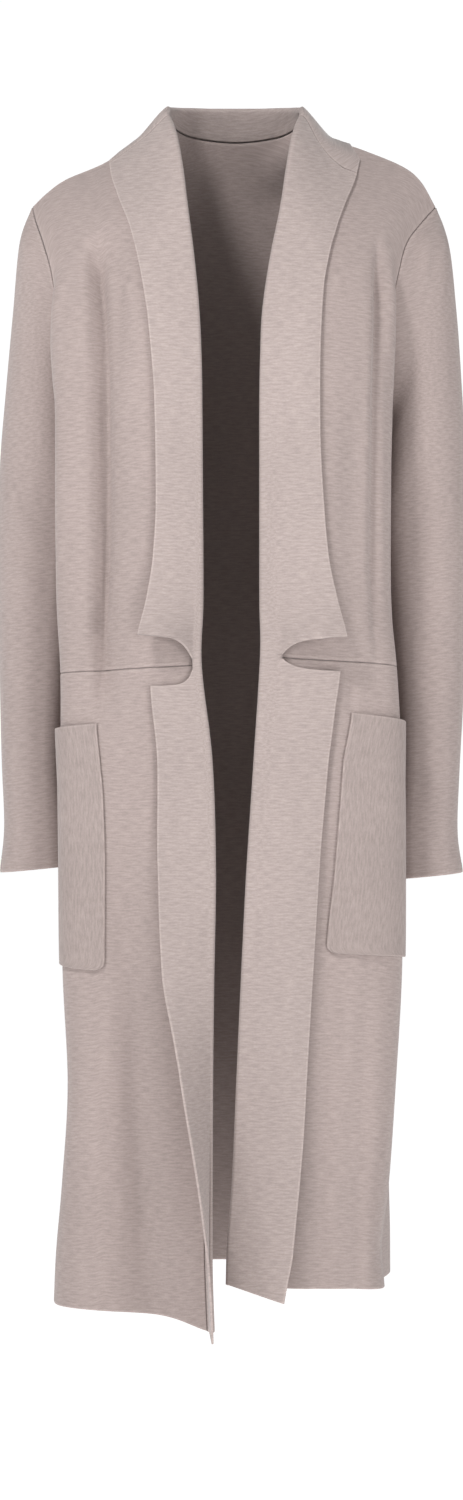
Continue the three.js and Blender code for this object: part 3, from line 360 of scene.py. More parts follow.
class Surface:
    """A smooth surface through curved sections, one row for each section."""

    PIECES = 60  # into which each section is cut
    STEP, ROW_STEP = 0.025, 0.12  # the share of a section and of a row over which it is level

    def __init__(self, sections, facing, shift=None):
        places = np.linspace(0, len(sections[0][0]) - 1, self.PIECES + 1)
        self.spots = np.stack([along(points, places, None, after) for points, after in sections])
        self.reaches = lengths(self.spots, 1)
        start = 2 * self.spots[:, :1] - self.spots[:, 1:2]
        end = 2 * self.spots[:, -1:] - self.spots[:, -2:-1]
        self.padded = np.concatenate([start, self.spots, end], 1)
        self.facing = facing
        self.shift = shift

    def split(self, row):
        """The section before a place, and how far the place lies past it."""
        i = np.clip(np.floor(row).astype(int), 0, len(self.spots) - 2)
        return i, row - i

    def reach(self, row, share):
        """How far along its section a share of it lies, in mm."""
        row, share = np.broadcast_arrays(np.asarray(row, float), np.asarray(share, float))
        i, t = self.split(row)
        k = np.clip(np.floor(share * self.PIECES).astype(int), 0, self.PIECES - 1)
        part = share * self.PIECES - k
        lines = [mix(self.reaches[i + n, k], self.reaches[i + n, k + 1], part) for n in (0, 1)]
        return mix(*lines, t)

    def share_at(self, row, far):
        """The share of the section that lies before a distance from the turned edge."""
        row, far = np.broadcast_arrays(np.asarray(row, float), np.asarray(far, float))
        i, t = self.split(row.ravel())
        line = mix(self.reaches[i], self.reaches[i + 1], t[:, None])
        want = far.ravel()
        k = np.clip((line < want[:, None]).sum(1) - 1, 0, self.PIECES - 1)
        at = np.arange(len(k))
        part = np.clip((want - line[at, k]) / (line[at, k + 1] - line[at, k]), 0, 1)
        return ((k + part) / self.PIECES).reshape(row.shape)

    def plain(self, row, share):
        """The point of the surface before any fold is worked in."""
        row, share = np.broadcast_arrays(np.asarray(row, float), np.asarray(share, float))
        i, t = self.split(row)
        place = np.clip(share, 0, 1) * self.PIECES
        j = np.clip(np.floor(place).astype(int), 0, self.PIECES - 1)
        part = (place - j)[..., None]
        last = len(self.spots) - 1
        lines = []
        for n in (-1, 0, 1, 2):
            k = np.clip(i + n, 0, last)
            lines.append(catmull(*(self.padded[k, j + m] for m in range(4)), part))
        lines[0] = np.where((i == 0)[..., None], 2 * lines[1] - lines[2], lines[0])
        lines[3] = np.where((i == last - 1)[..., None], 2 * lines[2] - lines[1], lines[3])
        return catmull(*lines, t[..., None])

    def normal(self, row, share):
        """Which way is out, measured over a small step to all sides."""
        row = np.asarray(row, float)
        right_of, left_of = np.minimum(share + self.STEP, 1), np.maximum(share - self.STEP, 0)
        across = self.plain(row, right_of) - self.plain(row, left_of)
        top = np.maximum(row - self.ROW_STEP, 0)
        bottom = np.minimum(row + self.ROW_STEP, len(self.spots) - 1)
        down = self.plain(bottom, share) - self.plain(top, share)
        normal = np.cross(across, down) * self.facing
        return normal / np.linalg.norm(normal, axis=-1, keepdims=True)

    def by_share(self, row, share, lift=0.0):
        """The point at a share of the section, with the folds, moved out by lift."""
        point = self.plain(row, share)
        out = lift + (self.shift(point) if self.shift else 0.0)
        return point + self.normal(row, share) * np.broadcast_to(out, point.shape[:-1])[..., None]

    def at(self, row, far, lift=0.0):
        """The point at a distance from the turned edge, moved out by lift."""
        return self.by_share(row, self.share_at(row, far), lift)

    def row_at(self, z, far):
        """The row in which the cloth stands at height z, at a distance from the edge."""
        z, far = np.broadcast_arrays(np.asarray(z, float), np.asarray(far, float))
        low, high = halve(0, len(self.spots) - 1, z.shape, 22, lambda row: (
            self.plain(row, self.share_at(row, far))[..., 2] > z))
        return (low + high) / 2


print("a section is cut into", Surface.PIECES, "pieces")

# %% [markdown]
# ## Soft folds
# Knitted cloth falls in broad soft troughs where it hangs from the shoulder and from the
# pocket. Each fold has a line down the front that it follows, a depth, and a width on the side
# away from the middle and on the side towards it, because cloth that hangs folds steeply on
# one side and softly on the other. It starts and ends gently, so that it has no corner.

# %% Folds of the fronts
FOLD_FADE = 60  # mm in which a fold fades in and out
FOLDED_FROM, FOLDED_FADE = -70, 20  # mm, folds are worked in where y is less than this
FOLD_COLUMNS = ["topX", "bottomX", "topZ", "bottomZ", "depth", "outer", "inner"]
RIGHT_FOLDS = table(FOLD_COLUMNS, [
    [131, 121, -50, -560, 10, 7, 24],
    [106, 108, -110, -260, 3, 9, 9],
    [104, 78, -620, -1130, 9, 34, 22],
])
LEFT_FOLDS = table(FOLD_COLUMNS, [
    [139, 133, -45, -520, 6, 14, 6],
    [112, 108, -240, -480, 2.5, 12, 12],
    [96, 80, -620, -1120, 4, 16, 16],
    [126, 112, -780, -1120, 5, 7, 20],
])
print("folds:", len(RIGHT_FOLDS["depth"]), "on the right,", len(LEFT_FOLDS["depth"]), "on the left")

# %% [markdown]
# Sharper creases lie in these folds or near a seam. Each follows its own line, which is given
# as x by height, because a crease wanders where a broad fold runs nearly straight.

# %% Creases of the fronts
def crease(line, depth, outer, inner, fade):
    """A crease along points of z and x, with its depth and its width on both sides."""
    return {"line": table(["z", "x"], line), "depth": depth, "outer": outer, "inner": inner,
            "fade": fade}


RIGHT_CREASES = [
    crease([[-70, 132], [-140, 130], [-188, 126], [-240, 123.5], [-404, 123.5], [-469, 127],
            [-556, 122]], 11, 5, 9, 90),
    crease([[-110, 107], [-260, 108]], 1.5, 5, 8, 50),
    crease([[-700, 98], [-900, 92], [-1110, 78]], 3, 12, 10, 90),
]
LEFT_CREASES = [
    crease([[-60, 136], [-185, 135], [-250, 132], [-404, 129], [-480, 129]], 5, 7, 5, 70),
    crease([[-80, 168], [-120, 161]], 2, 3, 3, 16),
    crease([[-499, 109], [-548, 109]], 2.5, 4, 4, 14),
    crease([[-640, 92], [-900, 84], [-1110, 80]], 2, 8, 10, 90),
]
print("creases:", len(RIGHT_CREASES), "on the right,", len(LEFT_CREASES), "on the left")

# %% [markdown]
# Across its line a fold is a smooth hollow. It moves the cloth straight in, and all folds and
# creases that meet at a point add up there.

# %% How far the folds move the cloth
def trough(z, off, top, bottom, fade, fold):
    """How deep a fold is at height z, at a distance off its line."""
    width = np.where(off > 0, fold["outer"], fold["inner"])
    ends = np.clip((top - z) / fade, 0, 1) * np.clip((z - bottom) / fade, 0, 1)
    return fold["depth"] * ends * np.exp(-((off / width) ** 2))


def creased(point, creases):
    """How far the creases move a point out."""
    x, z = np.abs(point[..., 0]), point[..., 2]
    total = np.zeros(x.shape)
    for each in creases:
        off = x - by_height(each["line"], z, "x")
        total -= trough(z, off, *each["line"]["z"][[0, -1]], each["fade"], each)
    return total


def folds_of(folds, creases):
    """A function that says how far the cloth moves out at each point."""
    def shift(point):
        x, y, z = np.abs(point[..., 0]), point[..., 1], point[..., 2]
        total = creased(point, creases)
        for k in range(len(folds["depth"])):
            fold = {name: values[k] for name, values in folds.items()}
            top, bottom = fold["topZ"], fold["bottomZ"]
            off = x - mix(fold["topX"], fold["bottomX"], np.clip((top - z) / (top - bottom), 0, 1))
            total -= trough(z, off, top, bottom, FOLD_FADE, fold)
        return total * np.clip((FOLDED_FROM - y) / FOLDED_FADE, 0, 1)
    return shift


chest = np.array([[-118.0, -150.0, -300.0]])
moved_in = -folds_of(RIGHT_FOLDS, RIGHT_CREASES)(chest)[0]
print("at the right chest the cloth moves in by", round(float(moved_in), 1), "mm")

# %% [markdown]
# ## The shape of the back
# The back has sections at about the same heights. Each has a point in the middle and three
# on either side, which are called spine, blade and wing. Down to the underarm it ends
# at the armhole, which has its own place in the table, and below that where the front does.

# %% Sections of the back
NECK_CENTRE = 2  # x of the middle of the neck
BACK = table(
    ["centreZ", "centreY", "spineX", "spineY", "bladeX", "bladeY", "wingX", "wingY",
     "armX", "armY", "armZ"],
    [
        [6, 66, 42, 56, 62, 30, 70, 6, 190, 2, -64],
        [-28, 79, 45, 75, 95, 50, 148, 32, 187, 20, -80],
        [-72, 92, 45, 91, 95, 77, 145, 57, 180, 42, -103],
        [-116, 101, 45, 102, 95, 93, 143, 77, 171, 58, -130],
        [-156, 106, 45, 108, 95, 102, 144, 87, 163, 64, -165],
        [-198, 109, 45, 111, 95, 105, 141, 90, 152, 54, -205],
        [-236, 109, 45, 111, 95, 106, 139, 86, 141, 34, -240],
        [-266, 108, 45, 110, 95, 105, 136, 82, 134, 2, -266],
        # below the underarm the armhole has no place
        [-340, 102, 45, 105, 95, 100, 134, 78, 0, 0, 0],
        [-440, 97, 45, 100, 95, 97, 135, 77, 0, 0, 0],
        [-504, 99, 46, 102, 97, 99, 137, 78, 0, 0, 0],
        [-590, 108, 48, 110, 100, 105, 140, 81, 0, 0, 0],
        [-690, 114, 48, 113, 102, 109, 143, 83, 0, 0, 0],
        [-790, 115, 48, 117, 103, 110, 147, 84, 0, 0, 0],
        [-885, 115, 48, 112, 102, 112, 146, 84, 0, 0, 0],
        [-970, 115, 48, 118, 101, 110, 146, 83, 0, 0, 0],
        [-1032, 114, 48, 120, 101, 109, 148, 82, 0, 0, 0],
        [-1077, 113, 48, 121, 101, 108, 148, 82, 0, 0, 0],
    ],
)
# How far each point of a section has come from centreZ to the height of the side
BACK_FALL = [0, 0.12, 0.4, 0.75, 1]
print("the back hangs from", BACK["centreZ"][0], "to", BACK["centreZ"][-1], "mm")

# %% [markdown]
# Each side of the coat now gets what belongs to it in one dictionary. The curve of a front's
# section is led on to the back's flank, so that front and back meet without a ridge.

# %% Put the two sides together
def front_points(side):
    """The points of a front's table in space."""
    rows = side["rows"]
    height = mix(rows["frontZ"][:, None], rows["sideZ"][:, None], side["fall"])
    x = side["sign"] * np.stack([rows[f"{part}X"] for part in PARTS], 1)
    y = np.stack([rows[f"{part}Y"] for part in PARTS], 1)
    return np.stack([x, y, height], -1)


def back_point(name, k, sign, side_z):
    """One point of every section of the back."""
    x = NECK_CENTRE + sign * BACK[f"{name}X"]
    return np.stack([x, BACK[f"{name}Y"], mix(BACK["centreZ"], side_z, BACK_FALL[k])], -1)


def front_surface(side, folds, creases):
    """The surface on which all the pieces of one front lie."""
    points = front_points(side)
    wing = back_point("wing", 3, side["sign"], side["rows"]["sideZ"])
    sections = [(points[i], wing[i] if i >= UNDERARM_ROW else None) for i in range(len(points))]
    return Surface(sections, -side["sign"], folds_of(folds, creases))


right = {"sign": -1, "rows": RIGHT_FRONT, "fall": RIGHT_FALL}
left = {"sign": 1, "rows": LEFT_FRONT, "fall": LEFT_FALL}
right["front"] = front_surface(right, RIGHT_FOLDS, RIGHT_CREASES)
left["front"] = front_surface(left, LEFT_FOLDS, LEFT_CREASES)
print("the turned edge of the right front starts at", right["front"].plain(0, 0).round())

# %% [markdown]
# ## From a grid of points to cloth
# A piece of cloth is a grid of points that lie in the middle of its thickness. Half the
# thickness goes to each side. At every edge the cloth gets thinner over the last
# millimetre, in a half circle, as a turned and pressed edge does, and two such edges that
# meet make the fine groove of a seam. To draw that round edge, a few lines are added very
# near to it.

# %% Normals and lines near an edge
HALF = 1.1  # mm, half the thickness of the knit
THINNEST = 0.04  # mm, half the thickness that is left at the very edge
EDGE_LINES = np.array([0.12, 0.45, 1.0])  # mm from an edge


def grid_normals(points, facing, closed=False):
    """Which way is out at each point of a grid."""
    if closed:
        across = np.roll(points, -1, 1) - np.roll(points, 1, 1)
    else:
        wide = np.concatenate([points[:, :1], points, points[:, -1:]], 1)
        across = wide[:, 2:] - wide[:, :-2]
    tall = np.concatenate([points[:1], points, points[-1:]])
    normal = np.cross(across, tall[2:] - tall[:-2]) * facing
    return normal / np.maximum(np.linalg.norm(normal, axis=-1, keepdims=True), 1e-9)


def add_lines(layers, axis, cell, from_start):
    """Adds lines to every layer of a grid near one end of a cell."""
    points = np.moveaxis(layers[0], axis, 0)
    span = np.linalg.norm(points[cell + 1] - points[cell], axis=-1)
    parts = [np.minimum(gap / np.maximum(span, 1e-6), 0.45) for gap in EDGE_LINES]
    if not from_start:
        parts = [1 - part for part in reversed(parts)]
    result = []
    for layer in layers:
        lines = np.moveaxis(layer, axis, 0)
        extra = [mix(lines[cell], lines[cell + 1], part[:, None]) for part in parts]
        lines = np.concatenate([lines[:cell + 1], extra, lines[cell + 1:]])
        result.append(np.moveaxis(lines, 0, axis))
    return result


print("thickness of the cloth:", 2 * HALF, "mm, lines at", EDGE_LINES.tolist(), "mm from an edge")

# %% [markdown]
# Each point also gets its distances from the nearest seam and the nearest free edge, which
# the material reads. A slit counts as a free edge from the column in which it starts.

# %% Distances from the edges
FAR = 99.0  # mm, where there is no edge


def edge_distances(points, edges, slit, closed):
    """How far each point lies from the nearest seam, the nearest rim and any edge, in mm."""
    rows, columns = points.shape[:2]
    down, across = lengths(points, 0), lengths(points, 1)
    distances = [down, down[-1] - down, across, across[:, -1:] - across]
    near = {kind: np.full((rows, columns), FAR) for kind in ("seam", "rim", "any")}
    for kind, distance in zip(edges, distances[:2] if closed else distances):
        for each in {kind, "any"} - {"none"}:
            near[each] = np.minimum(near[each], distance)
    if slit:
        row, column = slit
        line = np.arange(rows)[:, None]
        above = np.where(line <= row, down[row] - down, FAR)
        below = np.where(line > row, down - down[row + 1], FAR)
        gap = np.where(np.arange(columns) >= column, np.minimum(above, below), FAR)
        for each in ("rim", "any"):
            near[each] = np.minimum(near[each], gap)
    return near


print("kinds of edge: seam, rim, none")

# %% [markdown]
# The shell has a face on each side of the cloth and a strip of narrow faces wherever a cell
# has no neighbour, which closes the edge.

# %% Faces of the shell
def shell_faces(points, normals, slit, closed):
    """The four corners of every face. The inner side's points follow the outer side's."""
    rows, columns = points.shape[:2]
    cells = columns if closed else columns - 1
    i, j = np.meshgrid(np.arange(rows - 1), np.arange(cells), indexing="ij")
    has = np.ones(i.shape, bool)
    if slit:
        has[slit[0], slit[1]:] = False
    n = rows * columns
    a, b = i * columns + j, i * columns + (j + 1) % columns
    c, d = (i + 1) * columns + (j + 1) % columns, (i + 1) * columns + j
    outer = np.stack([a, b, c, d], -1)[has]
    turn = np.cross(points[1, 1] - points[1, 0], points[2, 1] - points[1, 1])
    flip = turn @ normals[1, 1] < 0
    if flip:
        outer = outer[:, ::-1]
    faces = [outer, outer[:, ::-1] + n]
    pad = np.zeros((rows + 1, cells + 2), bool)
    pad[1:-1, 1:-1] = has
    if closed:
        pad[1:-1, 0], pad[1:-1, -1] = has[:, -1], has[:, 0]
    neighbours = [(pad[:-2, 1:-1], a, b), (pad[1:-1, 2:], b, c), (pad[2:, 1:-1], c, d),
                  (pad[1:-1, :-2], d, a)]
    for there, p, q in neighbours:
        rim = np.stack([q, p, p + n, q + n], -1)[~there & has]
        faces.append(rim[:, ::-1] if flip else rim)
    return np.concatenate(faces)


patch = np.array([[[x, 0, -z] for x in range(3)] for z in range(3)], float)
patch_faces = shell_faces(patch, grid_normals(patch, 1), None, False)
print("a patch of 2 by 2 cells has", len(patch_faces), "faces")

# %% [markdown]
# Every piece is made by one function. It lays the knit's map, builds the shell, and puts it
# in the place of its plain solid.

# %% Make a piece of cloth
def cloth(name, points, normals, material, edges, anchor, slit=None, closed=False,
          turned_map=False, by_height_map=False):
    """Makes a piece. edges says what top, bottom, first and last are: seam, rim or none.

    anchor is the row from which the courses are counted. slit is the row above a slit and
    the column in which the slit starts."""
    down, across = lengths(points, 0), lengths(points, 1)
    down = down - down[anchor]
    knit = np.stack([down, across] if turned_map else [across, -down], -1)
    if by_height_map:
        knit = np.stack([across, points[..., 2]], -1)

    layers = [points, normals, knit]
    if slit:
        row, column = slit
        layers = add_lines(layers, 0, row + 1, True)
        layers = add_lines(layers, 0, row - 1, False)
        slit = (row + len(EDGE_LINES) * (1 + (edges[0] != "none")),
                column + len(EDGE_LINES) * (edges[2] != "none"))
    for axis, (first, last) in enumerate((edges[:2], edges[2:])):
        if last != "none":
            layers = add_lines(layers, axis, layers[0].shape[axis] - 2, False)
        if first != "none":
            layers = add_lines(layers, axis, 0, True)
    points, normals, knit = layers
    normals = normals / np.linalg.norm(normals, axis=-1, keepdims=True)

    near = edge_distances(points, edges, slit, closed)
    inward = HALF - np.clip(near.pop("any"), 0, HALF)
    out = normals * np.maximum(np.sqrt(HALF**2 - inward**2), THINNEST)[..., None]
    sides = np.concatenate([(points + out).reshape(-1, 3), (points - out).reshape(-1, 3)])
    used, corners = np.unique(shell_faces(points, normals, slit, closed), return_inverse=True)
    faces = corners.reshape(-1, 4)
    mesh = bpy.data.meshes.new(name)
    mesh.from_pydata((sides[used] * MM).tolist(), [], faces.tolist())
    mesh.polygons.foreach_set("use_smooth", np.ones(len(faces), bool))

    ring = np.concatenate([points, points[:, :1]], 1) if closed else points
    around = lengths(ring, 1)[:, -1] * MM
    places = (np.concatenate([knit.reshape(-1, 2)] * 2)[used] * MM)[faces]
    if closed:
        # the faces that close a tube take the map's far end, so the knit runs on over them
        half_way = around.mean() / 2
        jump = places[..., 0].max(1) - places[..., 0].min(1) > half_way
        places[..., 0] += 2 * half_way * (jump[:, None] & (places[..., 0] < half_way))
    mesh.uv_layers.new(name="knit").data.foreach_set("uv", places.ravel())
    for kind, values in near.items():
        attribute = mesh.attributes.new(f"{kind}_mm", "FLOAT", "POINT")
        attribute.data.foreach_set("value", np.concatenate([values.ravel()] * 2)[used])
    mesh.materials.append(material)

    piece = bpy.data.objects.new(f"{name}_cloth", mesh)
    scene.collection.objects.link(piece)
    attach(piece, "root")
    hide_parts(name)


print("pieces to make:", len(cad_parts))

# %% [markdown]
# ## Front panels
# A front is cut in two: the upper part from the shoulder to the waist seam, and the skirt
# from there to the hem. They start at the seam with the band, a little way in from the turned
# edge. Both lie on the surface that was made above.

# %% Rows and columns
COLLAR_START = 0.34  # where band and back collar meet, in rows in front of the shoulder
NECK_CELLS = 40
SIDE_CELLS = 60
upper_rows = np.concatenate([
    np.linspace(0, COLLAR_START, 6)[:-1], np.linspace(COLLAR_START, UNDERARM_ROW, 80)[:-1],
    np.linspace(UNDERARM_ROW, WAIST_ROW, 50)])
skirt_rows = np.linspace(WAIST_ROW, HEM_ROW, 120)
armhole_end = int(np.argmin(np.abs(upper_rows - UNDERARM_ROW)))
collar_row = int(np.argmin(np.abs(upper_rows - COLLAR_START)))
right["dip"], left["dip"] = 11, 0  # mm that the turned edge dips below the hem
DIP_WIDTH = 34  # mm
DIP_ROWS = 3  # rows above the hem in which the dip begins


def dip_at(side, row, far):
    """How far the cloth dips at a row, at a distance from the turned edge."""
    near = np.clip((row - (HEM_ROW - DIP_ROWS)) / DIP_ROWS, 0, 1)
    return side["dip"] * near**2 * np.exp(-((far / DIP_WIDTH) ** 2))


def front_grid(side, rows):
    """The points of a front between two heights."""
    front = side["front"]
    first = front.share_at(rows, BAND_SEAM + SEAM_GAP / 2)
    share = mix(first[:, None], 1, np.linspace(0, 1, SIDE_CELLS + 1))
    points = front.by_share(rows[:, None], share)
    points[..., 2] -= dip_at(side, rows[:, None], front.reach(rows[:, None], share))
    return points


for side in (right, left):
    side["upper"] = front_grid(side, upper_rows)
    side["skirt"] = front_grid(side, skirt_rows)
print("rows:", len(upper_rows), "above the waist and", len(skirt_rows), "below it")

# %% [markdown]
# ## The back
# The back is one piece from the shoulders to the hem. Its middle hangs straight from the
# shoulder blades, and its sides meet the fronts point by point, so that the side seams and
# the shoulder seams close.

# %% Grid of the back
NECK_FALL = [("blade", 0.3), ("spine", 0.75)]  # how far the neckline has come down at each


def back_row(index, right_shoulder, left_shoulder):
    """The points of one section of the back, from right to left."""
    row = {name: values[index] for name, values in BACK.items()}
    centre = np.array([NECK_CENTRE, row["centreY"], row["centreZ"]])

    def inner(side, name, z):
        return np.array([NECK_CENTRE + side["sign"] * row[f"{name}X"], row[f"{name}Y"], z])

    def half(side):
        rows = {name: values[index] for name, values in side["rows"].items()}
        tip = np.array([side["sign"] * rows["sideX"], rows["sideY"], rows["sideZ"]])
        if index <= UNDERARM_ROW:
            inwards = rows["sideX"] - RIGHT_FRONT["sideX"][index]
            tip = np.array([side["sign"] * (row["armX"] + inwards), row["armY"], row["armZ"]])
        return [tip] + [inner(side, name, mix(row["centreZ"], tip[2], BACK_FALL[k]))
                        for name, k in (("wing", 3), ("blade", 2), ("spine", 1))]

    def neck(side, start):
        return [start] + [inner(side, name, mix(start[2], row["centreZ"], part))
                          for name, part in NECK_FALL]

    if index == 0:
        ring = neck(right, right_shoulder[0]) + [centre] + neck(left, left_shoulder[0])[::-1]
        middle = evenly(ring, NECK_CELLS)
        return np.concatenate([right_shoulder[::-1], middle[1:-1], left_shoulder])
    points = np.array(half(right) + [centre] + half(left)[::-1])
    tucks = [front_points(side)[index][PARTS.index("tuck")] if index >= UNDERARM_ROW else None
             for side in (right, left)]
    return along(points, np.linspace(0, len(points) - 1, 2 * SIDE_CELLS + NECK_CELLS + 1), *tucks)


back_keys = np.stack([back_row(i, right["upper"][0], left["upper"][0]) for i in range(HEM_ROW + 1)])
back_points = along(back_keys, np.concatenate([upper_rows, skirt_rows[1:]]))
for side, column in ((right, 0), (left, -1)):
    back_points[armhole_end:, column] = np.concatenate([
        side["upper"][armhole_end:, -1], side["skirt"][1:, -1]])
print("back grid:", back_points.shape)

# %% [markdown]
# ## Sewing up fronts and back
# Two pieces that meet at a seam share their normals there, so that both lie at the same
# height and the seam closes. Then the five pieces are made.

# %% Sew up fronts and back
def agree(*normals):
    """Gives the pieces that meet at a seam the same normals there."""
    mean = sum(normals)
    mean = mean / np.linalg.norm(mean, axis=-1, keepdims=True)
    for normal in normals:
        normal[...] = mean


back_normals = grid_normals(back_points, 1)
for side in (right, left):
    facing = -side["sign"]
    side["upper_normals"] = grid_normals(side["upper"], facing)
    side["skirt_normals"] = grid_normals(side["skirt"], facing)
    column = 0 if side is right else -1
    shoulder = slice(SIDE_CELLS, None, -1) if side is right else slice(-SIDE_CELLS - 1, None)
    agree(side["upper_normals"][0], back_normals[0, shoulder])
    agree(side["upper_normals"][armhole_end:, -1],
          back_normals[armhole_end:len(upper_rows), column])
    agree(side["skirt_normals"][1:, -1], back_normals[len(upper_rows):, column])
    agree(side["upper_normals"][-1], side["skirt_normals"][0])

cloth("back", back_points, back_normals, body_knit, ("seam", "rim", "seam", "seam"),
      len(upper_rows))
for side, name in ((right, "right"), (left, "left")):
    cloth(f"front_upper_{name}", side["upper"], side["upper_normals"], body_knit,
          ("seam", "seam", "seam", "seam"), len(upper_rows) - 1)
    cloth(f"front_skirt_{name}", side["skirt"], side["skirt_normals"], body_knit,
          ("seam", "rim", "seam", "seam"), 0)

# %% [markdown]
# ## The front bands
# Each band is one long strip along a front edge. It starts at its seam, runs out to the edge,
# rolls round and lies back over the front. Above the waist it is the lapel, below it the
# flap. A slit at the waist lets the two part, so the lapel's lower corner stands out over it.
# The table gives the free edge by height: its x, how far it lies off the front, and how far
# it stands away to the front.

# %% Free edges of the bands
BAND_COLUMNS = ["z", "x", "lift", "stand"]
RIGHT_LAPEL = table(BAND_COLUMNS, [
    [-10, 116, 3, 0],
    [-31, 115, 3, 0],
    [-55, 108.7, 3, 0],
    [-95, 94.4, 3.2, 0],
    [-136, 85.1, 3.6, 0],
    [-177, 78.4, 4, 0],
    [-244, 72.7, 4.6, 0],
    [-350, 70.9, 5, 0],
    [-405, 73.9, 6, 1],
    [-441, 79.5, 8, 3],
    [-475, 86.1, 10, 6],
])
RIGHT_FLAP = table(BAND_COLUMNS, [
    [-523, 75.8, 4, 0],
    [-588, 70, 4, 1],
    [-681, 70, 5, 2],
    [-791, 67.3, 5, 13],
    [-856, 58, 5, 31],
    [-902, 51.6, 5, 40],
    [-948, 43.8, 5, 44],
    [-994, 36, 5, 46],
    [-1045, 28, 5, 46],
    [-1120, 22, 5, 46],
])
LEFT_LAPEL = table(BAND_COLUMNS, [
    [-20, 120, 3, 0],
    [-47, 113.2, 3, 0],
    [-68, 104.8, 3, 0],
    [-88, 97.4, 3.2, 0],
    [-114, 90, 3.6, 0],
    [-148, 83.7, 4, 0],
    [-193, 80.5, 4.6, 0],
    [-239, 79.5, 4.6, 0],
    [-303, 80, 5, 0],
    [-368, 83.7, 5, 0],
    [-405, 87.4, 6, 1],
    [-441, 93.8, 7, 2],
    [-478, 99.8, 8, 4],
])
LEFT_FLAP = table(BAND_COLUMNS, [
    [-507, 98, 4, 1],
    [-540, 93.8, 4, 1],
    [-589, 87.8, 4, 1],
    [-671, 80.9, 4, 1],
    [-764, 75.4, 4, 2],
    [-856, 70, 4, 3],
    [-948, 64.9, 5, 6],
    [-1040, 56.6, 5, 11],
    [-1090, 47.3, 5, 16],
])
print("free edges from", RIGHT_LAPEL["z"][0], "mm to", RIGHT_FLAP["z"][-1], "mm")

# %% [markdown]
# ## Across a band
# From seam to free edge a band has four parts: a narrow strip under the fold, the roll of the
# fold, a step up to where the slit starts, and the top that lies over the front. The slit is
# left out of the mesh from one column on. Its edges part in a soft curve, because the weight
# of the flap pulls the lower one down.

# %% Columns and slits of the bands
# Where each slit starts from the fold, the height of that inner end, how tall it is there,
# how far its edges have parted at the free edge, and the distance in which each does so
RIGHT_SLIT = {"from": 9, "z": -500, "tall": 9,
              "above": 26, "below": 17, "aboveIn": 11, "belowIn": 6}
LEFT_SLIT = {"from": 21, "z": -493, "tall": 4,
             "above": 18, "below": 12, "aboveIn": 13, "belowIn": 13}
ROLL = 2.3  # mm, radius of the soft fold where a band turns back
NARROWEST = 9  # mm from the fold to the free edge
STAND_LEAN = 0.17  # how far a flap leans to the middle for each mm that it stands away
READ_AT = 60.0  # mm from the fold, where the height of a row is read
SLIT_PULL = 7  # the higher, the nearer to the slit the rows begin to bend to it
SLANT_ROWS, SLANT_WIDTH = 4, 50  # rows and mm in which a slanted top end levels out
LAPEL_BULGE = 10  # mm that a lapel stands off the front just above its slit
SLIT_LIFT = 14  # mm that its lower edge stands off further
BULGE_REACH = 40  # mm above the slit in which it lies down again
right.update(lapel=RIGHT_LAPEL, flap=RIGHT_FLAP, slit=RIGHT_SLIT, drop=5, slant=0)
left.update(lapel=LEFT_LAPEL, flap=LEFT_FLAP, slit=LEFT_SLIT, drop=12, slant=0.9)
UNDER_CELLS, ROLL_CELLS, STEP_CELLS, TOP_CELLS = 4, 8, 5, 26
SLIT_COLUMN = UNDER_CELLS + ROLL_CELLS + STEP_CELLS
LEAVE = 1 + ROLL  # mm from the fold's outermost point to where the roll begins and ends


def band_steps(seam, reach, slit_from):
    """How far each column lies from the fold and how high it lies over the front."""
    reach = np.asarray(reach, float)[:, None]
    seam = np.broadcast_to(seam, len(reach))
    start = np.minimum(slit_from, reach * 0.55)
    turn = np.linspace(0, math.pi, ROLL_CELLS + 1)
    under = np.linspace(seam, LEAVE, UNDER_CELLS + 1)[:-1].T
    roll = np.tile(LEAVE - ROLL * np.sin(turn), (len(reach), 1))
    step = mix(LEAVE, start, np.linspace(0, 1, STEP_CELLS + 1)[1:-1])
    top = mix(start, reach, np.linspace(0, 1, TOP_CELLS + 1))
    far = np.concatenate([under, roll, step, top], 1)
    up = np.concatenate([np.zeros(UNDER_CELLS), ROLL - ROLL * np.cos(turn),
                         np.full(STEP_CELLS + TOP_CELLS, 2 * ROLL)])
    over = np.arange(far.shape[1]) >= UNDER_CELLS + ROLL_CELLS
    on_top = np.where(over, np.clip((far - LEAVE) / (reach - LEAVE), 0, 1), 0)
    return far, up, over, on_top


def band_reach(side, edge, row):
    """How far from the fold the free edge lies, in mm."""
    def is_short(far):
        point = side["front"].at(row, far)
        return side["sign"] * point[..., 0] < by_height(edge, point[..., 2], "x")

    low, high = halve(5, 140, row.shape, 24, is_short)
    return np.maximum((low + high) / 2, NARROWEST)


def slanted(side, base, far):
    """How many rows lower a lapel's top end lies, because its seam with the collar slants."""
    left_over = np.clip(1 - (base - COLLAR_START) / SLANT_ROWS, 0, 1)
    return side["slant"] * np.clip((far - BAND_SEAM) / SLANT_WIDTH, 0, 1) * left_over**2


print("columns across a band:", SLIT_COLUMN + TOP_CELLS + 1, "and the slit starts at", SLIT_COLUMN)

# %% [markdown]
# ## Lapel and flap
# Each half of a band follows the rows of the front at its far end and bends towards the slit
# at the waist. There the lapel bulges and its lower edge stands off, while the flap hangs
# away from the front towards the hem, where it also drops a little.

# %% Sew on the bands
SLIT_END = 0.03  # rows between the lapel's last row and the flap's first


